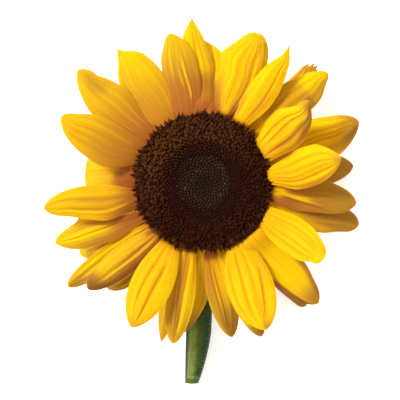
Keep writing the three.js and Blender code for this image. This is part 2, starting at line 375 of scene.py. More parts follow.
@dataclass(frozen=True)
class BudFinish(Finish):
    """Near-black green between tight buds with paler olive crowns."""

    name: str = "bud_olive"
    deep: Colour = (0.009, 0.006, 0.0035, 1.0)
    crown: Colour = (0.026, 0.0175, 0.0045, 1.0)
    pale: Colour = (0.066, 0.044, 0.012, 1.0)
    pale_lots: Stops = ((0.7, 0.0), (1.0, 0.8))
    crown_up: Stops = ((0.3, 0.0), (1.0, 1.0))
    grain_scale: float = 2600.0

    def dress(self, wiring: Wiring, shader: bpy.types.Node) -> None:
        """Wires the colour from the base of each bud to its crown, with crowns darker as painted shadow on
        one side.

        Args:
            wiring: The material's wiring.
            shader: The shader to wire it to.
        """
        crown = wiring.blend(wiring.ramp(wiring.named("lot"), self.pale_lots), self.crown, self.pale)
        # Crowns are darkened where the seat carries painted shadow.
        tip = wiring.times(wiring.ramp(wiring.named("lip"), self.crown_up), wiring.named("gilt"))
        colour = wiring.blend(tip, self.deep, crown)
        wiring.feed(shader, {"Base Color": colour, "Roughness": 0.55, "Specular IOR Level": 0.14})
        self.relief(wiring, shader, wiring.noise(wiring.place(), self.grain_scale, 1.0), 0.05, 0.4)


@dataclass(frozen=True)
class LotFinish(Finish):
    """A plain skin that is paler on some of many small things than on others."""

    name: str
    dull: Colour
    pale: Colour
    roughness: float

    def dress(self, wiring: Wiring, shader: bpy.types.Node) -> None:
        """Wires the colour from each small thing's own lot."""
        colour = wiring.blend(wiring.named("lot"), self.dull, self.pale)
        wiring.feed(shader, {"Base Color": colour, "Roughness": self.roughness})


@dataclass(frozen=True)
class GreenFinish(Finish):
    """Green plant skin with lengthwise ribs, paler on crests, with painted shade at its edges and a painted
    highlight.
    """

    name: str = "green_skin"
    deep: Colour = (0.008, 0.026, 0.005, 1.0)
    body: Colour = (0.026, 0.068, 0.01, 1.0)
    crest: Colour = (0.062, 0.12, 0.024, 1.0)
    flush: Colour = (0.2, 0.27, 0.04, 1.0)
    # The pale colour of a ring by the cut and of a painted highlight streak.
    bloom: Colour = (0.26, 0.33, 0.19, 1.0)
    clouds: Stops = ((0.3, 0.0), (0.7, 1.0))
    pores: Stops = ((0.35, 0.35), (0.6, 0.0))
    streak: float = 0.5
    cloud_stretch: Point = (1.0, 0.35, 1.0)
    cloud_scale: float = 420.0
    grain_scale: float = 1500.0
    glow_reach: Point = (0.6, 1.0, 0.2)

    def dress(self, wiring: Wiring, shader: bpy.types.Node) -> None:
        """Wires the colour from the ribs and from where the skin is flushed yellow, dark with painted shade,
        or pale.

        Args:
            wiring: The material's wiring.
            shader: The shader to wire it to.
        """
        place = wiring.place()
        stretched = wiring.add(
            "ShaderNodeVectorMath", {0: place, 1: self.cloud_stretch}, operation="MULTIPLY").outputs[0]
        cloud = wiring.ramp(wiring.noise(stretched, self.cloud_scale, 4.0), self.clouds)
        grain = wiring.noise(place, self.grain_scale)
        blotch = wiring.plus(0.6, wiring.times(cloud, 0.5))
        colour = wiring.blend(cloud, self.deep, self.body)
        colour = wiring.blend(wiring.times(wiring.named("crest"), self.streak), colour, self.crest)
        for where, over in (("flush", self.flush), ("pale", self.bloom)):
            colour = wiring.blend(wiring.times(wiring.named(where), blotch, clamp=True), colour, over)
        # Painted shade where the skin is marked dark.
        colour = wiring.blend(wiring.named("dark"), colour, self.deep)
        colour = wiring.blend(wiring.ramp(grain, self.pores), colour, self.deep)
        wiring.feed(shader, {
            "Base Color": colour, "Roughness": 0.55, "Specular IOR Level": 0.15, "Subsurface Weight": 0.08,
            "Subsurface Radius": self.glow_reach, "Subsurface Scale": MM})
        self.relief(wiring, shader, grain, 0.12, 0.5)


@dataclass(frozen=True)
class FloorFinish(Finish):
    """Matt white paper, lit a little from below."""

    name: str = "floor_white"
    paper: Colour = (0.93, 0.93, 0.92, 1.0)
    glow: Colour = (0.8, 0.88, 1.0, 1.0)
    glow_level: float = 0.5

    def dress(self, wiring: Wiring, shader: bpy.types.Node) -> None:
        """Sets the paper's colour and glow."""
        wiring.feed(shader, {"Base Color": self.paper, "Roughness": 0.95, "Specular IOR Level": 0.1,
                             "Emission Color": self.glow, "Emission Strength": self.glow_level})


# ------------------------------------------------------------------ meshes


@dataclass
class Draft:
    """Points and faces about the bloom's axis, in millimetres, with numbers at each point."""

    points: Array
    faces: list[list[int]]
    measures: dict[str, Array]

    @classmethod
    def ringed(cls, rings: Array, measures: Mapping[str, Array]) -> "Draft":
        """Closes a skin over rings of points, with a pole at each end.

        Args:
            rings: Points as (ring, place round it, xyz), listed so that the skin faces outwards.
            measures: Numbers as (ring, place round it).

        Returns:
            The draft. Each end is closed by a fan to the middle of its ring.
        """
        count, around = rings.shape[:2]
        points = np.concatenate([rings.reshape(-1, 3), rings[:1].mean(axis=1), rings[-1:].mean(axis=1)])
        index = np.arange(count * around).reshape(count, around)
        ahead = np.roll(index, -1, axis=1)
        walls = np.stack([index[:-1], ahead[:-1], ahead[1:], index[1:]], -1).reshape(-1, 4)
        foot = np.full(around, count * around)
        caps = np.stack([foot, ahead[0], index[0], foot + 1, index[-1], ahead[-1]], -1).reshape(-1, 3)
        closed = {
            name: np.concatenate([values.reshape(-1), [values[0].mean()], [values[-1].mean()]])
            for name, values in measures.items()
        }
        return cls(points, walls.tolist() + caps.tolist(), closed)

    @classmethod
    def sheeted(cls, surface: Array, thick: Array, measures: Mapping[str, Array]) -> "Draft":
        """Closes a skin on both sides of a surface.

        Args:
            surface: The middle surface as (along, across, xyz), with across running to the left of along.
            thick: Half the thickness as (along, across).
            measures: Numbers as (along, across), the same on both sides.

        Returns:
            The draft, with its rim closed.
        """
        rows, columns = surface.shape[:2]
        normal = np.cross(np.gradient(surface, axis=0), np.gradient(surface, axis=1))
        normal /= np.linalg.norm(normal, axis=-1, keepdims=True)
        offset = normal * thick[..., None]
        points = np.concatenate([(surface + offset).reshape(-1, 3), (surface - offset).reshape(-1, 3)])
        under = rows * columns
        index = np.arange(under).reshape(rows, columns)
        top = np.stack([index[:-1, :-1], index[1:, :-1], index[1:, 1:], index[:-1, 1:]], -1).reshape(-1, 4)
        skins = np.stack([top, top[:, ::-1] + under], 1).reshape(-1, 4)
        here = np.concatenate([index[:, 0], index[-1, 1:], index[-2::-1, -1], index[0, -2:0:-1]])
        ahead = np.roll(here, -1)
        rim = np.stack([here, here + under, ahead + under, ahead], -1)
        doubled = {name: np.tile(values.reshape(-1), 2) for name, values in measures.items()}
        return cls(points, skins.tolist() + rim.tolist(), doubled)

    @classmethod
    def joined(cls, drafts: Sequence["Draft"]) -> "Draft":
        """Joins several drafts that carry the same measures.

        Args:
            drafts: The drafts.

        Returns:
            All of them as one.
        """
        faces, start = [], 0
        for draft in drafts:
            faces += [[corner + start for corner in face] for face in draft.faces]
            start += len(draft.points)
        points = np.concatenate([draft.points for draft in drafts])
        names = drafts[0].measures.keys()
        return cls(points, faces, {name: np.concatenate([draft.measures[name] for draft in drafts])
                                   for name in names})

    @classmethod
    def read(cls, mesh: bpy.types.Mesh, measure: str) -> "Draft":
        """Reads a mesh back.

        Args:
            mesh: The mesh, in the frame.
            measure: The number at each point that is kept.

        Returns:
            The draft, about the frame's own origin.
        """
        points = np.zeros(len(mesh.vertices) * 3)
        mesh.vertices.foreach_get("co", points)
        values = np.zeros(len(mesh.vertices))
        mesh.attributes[measure].data.foreach_get("value", values)
        faces = [list(face.vertices) for face in mesh.polygons]
        return cls(points.reshape(-1, 3) / MM, faces, {measure: values})

    def settled(self, place: Sequence[float], heading: float) -> "Draft":
        """Turns the draft to a heading in radians and moves its origin to a place."""
        turn = np.array(Matrix.Rotation(heading, 3, "Z"))
        return replace(self, points=self.points @ turn.T + np.array(place))

    def mesh(self, name: str, centre: Vector, crease: float) -> bpy.types.Mesh:
        """Makes the mesh at its place in the frame.

        Args:
            name: The mesh's name.
            centre: Where the bloom's axis meets the floor, in metres.
            crease: The angle in degrees past which an edge stays sharp.

        Returns:
            The mesh, smooth but for its sharp edges.
        """
        mesh = bpy.data.meshes.new(name)
        mesh.from_pydata((self.points * MM + np.array(centre)).tolist(), [], self.faces)
        for measure, values in self.measures.items():
            layer = mesh.attributes.new(measure, "FLOAT", "POINT")
            layer.data.foreach_set("value", np.asarray(values, np.float32))
        mesh.shade_smooth()
        mesh.set_sharp_from_angle(angle=math.radians(crease))
        mesh.validate()
        return mesh


@dataclass(frozen=True)
class Bench:
    """Places finished pieces in the frame, about the point where the bloom's axis meets the floor."""

    centre: Vector

    def lay(self, name: str, mesh: bpy.types.Mesh, finish: bpy.types.Material, slot: Slot,
            nodes: Sequence[str] = ()) -> None:
        """Adds a finished piece to the bloom and reports it.

        Args:
            name: The piece's name.
            mesh: Its mesh, already in its place.
            finish: Its material.
            slot: Not used.
            nodes: The solids that it stands for.
        """
        piece = bpy.data.objects.new(name, mesh)
        mesh.materials.clear()
        mesh.materials.append(finish)
        bpy.context.scene.collection.objects.link(piece)
        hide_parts(*nodes)
        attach(piece, BODY)
        triangles = sum(len(face.vertices) - 2 for face in mesh.polygons)
        LOG.info("%s: %d triangles, for %s", name, triangles, ", ".join(nodes) or "nothing")

    def shape(self, name: str, draft: Draft, finish: bpy.types.Material, slot: Slot, nodes: Sequence[str],
              crease: float = 50.0) -> bpy.types.Mesh:
        """Makes a draft's mesh and lays it as a piece.

        Args:
            name: The piece's name.
            draft: Its shape.
            finish: Its material.
            slot: A slot name, passed on to lay.
            nodes: The solids that it stands for.
            crease: The angle in degrees past which an edge stays sharp.

        Returns:
            The mesh, for what grows on it.
        """
        mesh = draft.mesh(name, self.centre, crease)
        self.lay(name, mesh, finish, slot, nodes)
        return mesh


# ------------------------------------------------------------------ what repeats


@dataclass(frozen=True)
class Growth:
    """A finished Geometry Nodes tree that grows small things on a host mesh, and its named inputs."""

    tree: bpy.types.NodeTree
    keys: Mapping[str, str]

    def grow(self, name: str, host: bpy.types.Mesh, **inputs: object) -> bpy.types.Mesh:
        """Runs the tree on a host and keeps the result as a plain mesh.

        Args:
            name: The name of the mesh to make.
            host: The mesh that the things grow on.
            inputs: The tree's inputs by name.

        Returns:
            The mesh, with no modifier left.
        """
        carrier = bpy.data.objects.new(name, host.copy())
        bpy.context.scene.collection.objects.link(carrier)
        modifier = carrier.modifiers.new("growth", "NODES")
        modifier.node_group = self.tree
        for label, value in inputs.items():
            modifier[self.keys[label]] = value
        graph = bpy.context.evaluated_depsgraph_get()
        grown = carrier.evaluated_get(graph)
        mesh = bpy.data.meshes.new_from_object(grown, preserve_all_data_layers=True, depsgraph=graph)
        carrier.modifiers.remove(modifier)
        bpy.data.objects.remove(carrier)
        mesh.name = name
        return mesh


@dataclass(frozen=True)
class GrowthWiring(Wiring):
    """Wires a Geometry Nodes tree that grows small things on a host."""

    keys: Mapping[str, str]

    @classmethod
    def opened(cls, name: str, sockets: Mapping[str, str]) -> "GrowthWiring":
        """Starts a tree.

        Args:
            name: The tree's name.
            sockets: Each input's name and kind of socket.

        Returns:
            The tree's wiring, with each input's identifier by name.
        """
        tree = bpy.data.node_groups.new(name, "GeometryNodeTree")
        tree.interface.new_socket(name="Host", in_out="INPUT", socket_type="NodeSocketGeometry")
        tree.interface.new_socket(name="Grown", in_out="OUTPUT", socket_type="NodeSocketGeometry")
        keys = {
            label: tree.interface.new_socket(
                name=label, in_out="INPUT", socket_type=f"NodeSocket{kind}").identifier
            for label, kind in sockets.items()
        }
        return cls(tree, keys)

    def dice(self, low: float, high: float, seed: int) -> Socket:
        """A random number for each point, from a fixed seed."""
        return self.add("FunctionNodeRandomValue", {2: low, 3: high, 8: seed}, data_type="FLOAT").outputs[1]

    def shake(self, reach: float, *seeds: int) -> Socket:
        """A random vector for each point, with a seed and the same reach along each axis."""
        return self.vector(*(self.dice(-reach, reach, seed) for seed in seeds))

    def carried(self, name: str, host: Socket, place: Socket) -> Socket:
        """The number that the host's skin carries nearest to a place."""
        number = self.add("GeometryNodeInputNamedAttribute", {"Name": name}, data_type="FLOAT").outputs[0]
        return self.add("GeometryNodeSampleNearestSurface", {
            "Mesh": host, "Value": number, "Sample Position": place}, data_type="FLOAT").outputs[0]

    def marked(self, grown: Socket, name: str, value: Socket) -> Socket:
        """Stores a number on each small thing."""
        return self.add("GeometryNodeStoreNamedAttribute", {"Geometry": grown, "Name": name, "Value": value},
                        data_type="FLOAT", domain="INSTANCE").outputs[0]

    def planted(self, points: Socket, thing: Socket, heading: Socket, size: Socket,
                spin: Optional[Socket] = None, kept: Feed = True) -> Socket:
        """Puts a small thing on each point.

        Args:
            points: The points.
            thing: The object to copy.
            heading: The way that each one's own axis points.
            size: How large each one is.
            spin: How far each one is turned about its own axis, in radians.
            kept: Which points grow one.

        Returns:
            The small things.
        """
        turn = self.add("FunctionNodeAlignRotationToVector", {"Vector": heading}, axis="Z").outputs[0]
        if spin is not None:
            about = self.add("FunctionNodeAxisAngleToRotation", {"Axis": (0.0, 0.0, 1.0), "Angle": spin})
            turn = self.add("FunctionNodeRotateRotation", {0: turn, 1: about.outputs[0]},
                            rotation_space="LOCAL").outputs[0]
        shape = self.add("GeometryNodeObjectInfo", {"Object": thing}).outputs["Geometry"]
        return self.add("GeometryNodeInstanceOnPoints", {
            "Points": points, "Selection": kept, "Instance": shape, "Rotation": turn,
            "Scale": size}).outputs[0]

    def closed(self, grown: Socket, lot: Socket, material: Socket) -> Growth:
        """Ends the tree: marks each thing's lot, makes the things real and sets their material.

        Args:
            grown: The small things.
            lot: A random number for each of them.
            material: Their material.

        Returns:
            The finished growth.
        """
        real = self.add("GeometryNodeRealizeInstances", {0: self.marked(grown, "lot", lot)})
        dressed = self.add("GeometryNodeSetMaterial", {"Geometry": real.outputs[0], "Material": material})
        self.add("NodeGroupOutput", {0: dressed.outputs[0]})
        return Growth(self.tree, self.keys)


@dataclass(frozen=True)
class SpiralHabit:
    """How florets stand on a sunflower's spiral: dropped on to the face and splayed towards its rim."""

    drift: float = 0.35
    drop_height: float = 0.1
    drop_length: float = 1.0
    bare_limit: float = 0.5
    splay_power: float = 6.0
    splay_lots: tuple[float, float] = (0.75, 1.25)
    tuft_scale: float = 260.0
    tufts: Stops = ((0.42, 0.4), (0.58, 1.5))
    lean: float = 0.3
    size_lots: tuple[float, float] = (0.85, 1.15)
    swell_power: float = 8.0

    def growth(self) -> Growth:
        """Wires the spiral.

        Returns:
            The growth. Its inputs are the first place on the spiral and how many there are, the spacing,
            the rim's radius, the splay and swell at the rim, the face's centre, the share that grows, how
            far each strays from its place, the floret and its material.
        """
        wiring = GrowthWiring.opened("spiral_growth", {
            "First": "Int", "Count": "Int", "Spacing": "Float", "Rim": "Float", "Splay": "Float",
            "Swell": "Float", "Centre": "Vector", "Share": "Float", "Stray": "Float", "Floret": "Object",
            "Material": "Material"})
        times, plus = wiring.times, wiring.plus
        given = wiring.add("NodeGroupInput").outputs
        points = wiring.add("GeometryNodePoints", {"Count": given["Count"]}).outputs[0]
        place = plus(wiring.add("GeometryNodeInputIndex").outputs[0], given["First"])
        drift = times(plus(wiring.dice(0.0, 1.0, 3), -0.5), self.drift)
        radius = times(given["Spacing"], wiring.math("SQRT", plus(place, drift)))
        turn = times(place, GOLDEN_ANGLE)
        outward = wiring.vector(wiring.math("COSINE", turn), wiring.math("SINE", turn))
        astray = wiring.scaled(wiring.shake(1.0, 47, 53), given["Stray"])
        centred = wiring.moved(wiring.moved(wiring.scaled(outward, radius), astray), given["Centre"])
        drop = wiring.add("GeometryNodeRaycast", {
            "Target Geometry": given["Host"], "Ray Direction": (0.0, 0.0, -1.0),
            "Source Position": wiring.moved(centred, (0.0, 0.0, self.drop_height)),
            "Ray Length": self.drop_length}).outputs
        hit = drop["Hit Position"]
        seated = wiring.add("GeometryNodeSetPosition", {"Geometry": points, "Position": hit}).outputs[0]
        bare = wiring.math("LESS_THAN", wiring.carried("bare", given["Host"], hit), self.bare_limit)
        chosen = wiring.math("LESS_THAN", wiring.dice(0.0, 1.0, 43), given["Share"])
        kept = times(times(bare, drop["Is Hit"]), chosen)
        share = wiring.math("DIVIDE", radius, given["Rim"])
        splay = times(given["Splay"], wiring.math("POWER", share, self.splay_power))
        tuft = wiring.ramp(wiring.noise(hit, self.tuft_scale, 1.0), self.tufts)
        pushed = wiring.scaled(outward, times(times(wiring.dice(*self.splay_lots, 5), splay), tuft))
        heading = wiring.moved(wiring.moved(drop["Hit Normal"], pushed), wiring.shake(self.lean, 7, 11))
        swell = plus(1.0, times(given["Swell"], wiring.math("POWER", share, self.swell_power)))
        size = times(wiring.dice(*self.size_lots, 17), swell)
        spin = wiring.dice(0.0, 6.283, 13)
        grown = wiring.planted(seated, given["Floret"], heading, size, spin, kept)
        # Each floret carries the gold and painted light of its place on the seat.
        gilded = wiring.marked(grown, "gilt", wiring.carried("gilt", given["Host"], hit))
        return wiring.closed(gilded, wiring.dice(0.0, 1.0, 19), given["Material"])


@dataclass(frozen=True)
class HairHabit:
    """How hairs stand on a skin: scattered over it, standing out and leaning at random."""

    size_lots: tuple[float, float] = (0.5, 1.25)

    def growth(self) -> Growth:
        """Wires the scattering.

        Returns:
            The growth. Its inputs are the hairs to each square metre, the height above which none grow,
            their lean, a seed, the hair and its material.
        """
        wiring = GrowthWiring.opened("bristle_growth", {
            "Density": "Float", "Below": "Float", "Lean": "Float", "Seed": "Int", "Hair": "Object",
            "Material": "Material"})
        given = wiring.add("NodeGroupInput").outputs
        place = wiring.add("GeometryNodeInputPosition").outputs[0]
        height = wiring.add("ShaderNodeSeparateXYZ", {0: place}).outputs[2]
        scattered = wiring.add("GeometryNodeDistributePointsOnFaces", {
            "Mesh": given["Host"], "Selection": wiring.math("LESS_THAN", height, given["Below"]),
            "Density": given["Density"], "Seed": given["Seed"]}).outputs
        leant = wiring.scaled(wiring.shake(1.0, 23, 29, 31), given["Lean"])
        heading = wiring.moved(scattered["Normal"], leant)
        grown = wiring.planted(scattered[0], given["Hair"], heading, wiring.dice(*self.size_lots, 37))
        return wiring.closed(grown, wiring.dice(0.0, 1.0, 41), given["Material"])


@dataclass(frozen=True)
class Sprig:
    """A small closed shape that is grown many times: rings of a few corners up its own axis (mm)."""

    name: str
    rings: tuple[tuple[float, float, float], ...]  # radius, height, lip
    corners: int = 5
    flare: float = 0.0  # how far every second corner stands out on the rings with a lip
    arms: float = 0.0  # length of two curled arms at the top
    arm_bends: tuple[float, ...] = (-0.5, 0.5, 1.5, 2.5)
    arm_halves: tuple[float, ...] = (0.11, 0.1, 0.08, 0.05)
    arm_curl: float = 0.36
    arm_root: float = 0.25

    def part(self) -> bpy.types.Object:
        """Makes the shape as a hidden object at the origin.

        Returns:
            The object, which the growth copies.
        """
        angle = spokes(self.corners * (2 if self.flare else 1))
        radius, height, lip = (np.array(column)[:, None] for column in zip(*self.rings))
        swing = np.where(np.arange(len(angle)) % 2, -self.flare, self.flare)
        drafts = [Draft.ringed(turned(radius * (1 + swing * lip), height, angle), {"lip": lip + 0 * angle})]
        if self.arms:
            drafts += [self.arm(side) for side in (0.0, math.pi)]
        mesh = Draft.joined(drafts).mesh(self.name, Vector((0, 0, 0)), 60.0)
        return bpy.data.objects.new(self.name, mesh)

    def arm(self, bearing: float) -> Draft:
        """Makes one curled arm of the forked style.

        Args:
            bearing: The way it curls, in radians.

        Returns:
            The arm, a thin three-sided prism on a hook.
        """
        bend = np.array(self.arm_bends)
        curl = self.arms * self.arm_curl
        sunk = np.array([-self.arm_root, 0, 0, 0])
        out = curl * (1 - np.cos(bend.clip(0)))[:, None]
        up = (self.rings[-1][1] + curl * np.sin(bend.clip(0)) + sunk)[:, None]
        half = np.array(self.arm_halves)[:, None]
        angle = spokes(3)
        rings = np.stack([out + half * np.cos(angle), half * np.sin(angle), up + 0 * angle], -1)
        return Draft.ringed(rings, {"lip": np.ones(rings.shape[:2])}).settled((0, 0, 0), bearing)


# ------------------------------------------------------------------ blades


@dataclass(frozen=True)
class Swell:
    """A stretch where one edge of a blade stands out, or nips in where it is negative (mm)."""

    side: Side
    at: float
    by: float
    spread: float = 0.1


@dataclass(frozen=True)
class Blade:
    """The middle surface of a petal or bract, from its root at the origin along +X (mm)."""

    length: float
    half: float
    rise: float
    arch: float
    cup: float
    bow: float = 0.0
    widest: float = 0.5
    point: float = 0.66
    root_width: float = 0.36
    tip_half: float = 0.35
    swells: tuple[Swell, ...] = ()
    skew: float = 0.0
    roundness: float = 2.1
    least_edge: float = 0.8
    skewed_root: float = 0.3

    def heel(self, thickness: float) -> float:
        """How far the lower corner stands behind the root, because the blade leaves at a slope."""
        slope = abs(self.rise + self.arch) / self.length
        return thickness / 2 * slope / math.hypot(1, slope)

    def half_width(self, along: Array) -> Array:
        """Half the width, from a narrow root to the widest place and in to the tip.

        Args:
            along: Shares of the length.

        Returns:
            Half the width at each.
        """
        opening = np.sin(np.clip(along / self.widest, 0, 1) * math.pi / 2)
        near = self.half * (self.root_width + (1 - self.root_width) * opening)
        fall = np.clip((along - self.widest) / (1 - self.widest), 0, 1)
        far = self.half * np.maximum(0, 1 - fall ** self.roundness) ** self.point
        return np.maximum(np.where(along < self.widest, near, far), self.tip_half)

    def edge(self, along: Array, side: Side) -> Array:
        """How far one edge stands from the middle line.

        Args:
            along: Shares of the length.
            side: The edge.

        Returns:
            The distance at each.
        """
        edge = self.half_width(along)
        for swell in self.swells:
            if swell.side is side:
                edge = edge + swell.by * hump(along, swell.at, swell.spread)
        return np.maximum(edge, self.tip_half * self.least_edge)

    def middle(self, along: Array, across: Array) -> Array:
        """Lays out the middle surface.

        Args:
            along: Shares of the length, 0 at the root.
            across: -1 at the right edge to 1 at the left.

        Returns:
            The points, in the shape of along.
        """
        left, right = self.edge(along, Side.LEFT), self.edge(along, Side.RIGHT)
        climb = (self.rise + self.arch) * along - self.arch * along ** 2
        aside = (left - right) / 2 + (left + right) / 2 * across
        return np.stack([
            self.length * along + self.skew * aside * ease(self.skewed_root, 0.0, along),
            aside + self.bow * 4 * along * (1 - along),
            climb + self.half_width(along) / self.half * self.cup * across ** 2,
        ], -1)

    def thinning(self, along: Array, across: Array, bevel: float, least: float) -> Array:
        """How thick the blade is as a share of its full thickness, thinner towards its edges.

        Args:
            along: Shares of the length.
            across: -1 at the right edge to 1 at the left.
            bevel: How far in from the edge it is whole, in millimetres.
            least: The share at the very edge.

        Returns:
            The shares.
        """
        inward = np.minimum(1, (1 - np.abs(across)) * self.half_width(along) / bevel)
        return least + (1 - least) * inward


@dataclass(frozen=True)
class Rib:
    """A ridge along a petal, or a groove where it is negative (mm; across from -1 right to 1 left)."""

    at: float
    high: float = 0.5
    wide: float = 0.12
    lean: float = 0.0
    start: float = 0.0
    stop: float = 1.0
    fade: float = 0.2
    overlap: float = 0.02

    def height(self, along: Array, across: Array) -> Array:
        """How far it lifts the petal.

        Args:
            along: Shares of the petal's length.
            across: -1 at its right edge to 1 at its left.

        Returns:
            The lift at each place.
        """
        begun = ease(self.start - self.overlap, self.start + self.fade, along)
        ended = ease(self.stop + self.overlap, self.stop - self.fade, along)
        return self.high * hump(across, self.at + self.lean * (along - 0.5), self.wide) * begun * ended


@dataclass(frozen=True)
class Patch:
    """A soft patch of painted shade, where a petal's colour turns to a shaded amber."""

    along: float
    across: float
    length: float
    width: float
    amount: float = 0.5
    crisp: float = 1.5
    lean: float = 0.0

    def tone(self, along: Array, across: Array) -> Array:
        """How much painted shade there is.

        Args:
            along: Shares of the petal's length.
            across: -1 at its right edge to 1 at its left.

        Returns:
            The amount at each place.
        """
        line = self.across + self.lean * (along - self.along)
        off = ((along - self.along) / self.length) ** 2 + ((across - line) / self.width) ** 2
        return self.amount * np.exp(-off ** self.crisp)


@dataclass(frozen=True)
class Petal:
    """One ray petal of this bloom.

    Bearings are in degrees, anticlockwise from +X, at its root and its tip. reach is its tip's distance
    from the axis, half is half its greatest width, tier 0 is the front, lip and lift are how far it leans
    in over the face and stands up at its root, and its painted shade is how far its whole colour is
    turned to a shaded amber where shade falls on it.
    """

    root: float
    tip: float
    reach: float
    half: float
    tier: float
    rise: Optional[float] = None
    rests: bool = False
    arch: float = 8.0
    cup: float = -1.6
    bow: float = 0.0
    widest: float = 0.5
    point: float = 0.66
    root_width: float = 0.44
    swells: tuple[Swell, ...] = ()
    ribs: tuple[Rib, ...] = (Rib(-0.55, 0.45), Rib(-0.1, 0.5), Rib(0.35, 0.5), Rib(0.75, 0.35))
    patches: tuple[Patch, ...] = ()
    lip: float = 0.0
    lift: float = 0.0
    roll: float = 0.0
    wave: float = 0.3
    tone: float = 0.0
    end: Tip = Tip.PLAIN


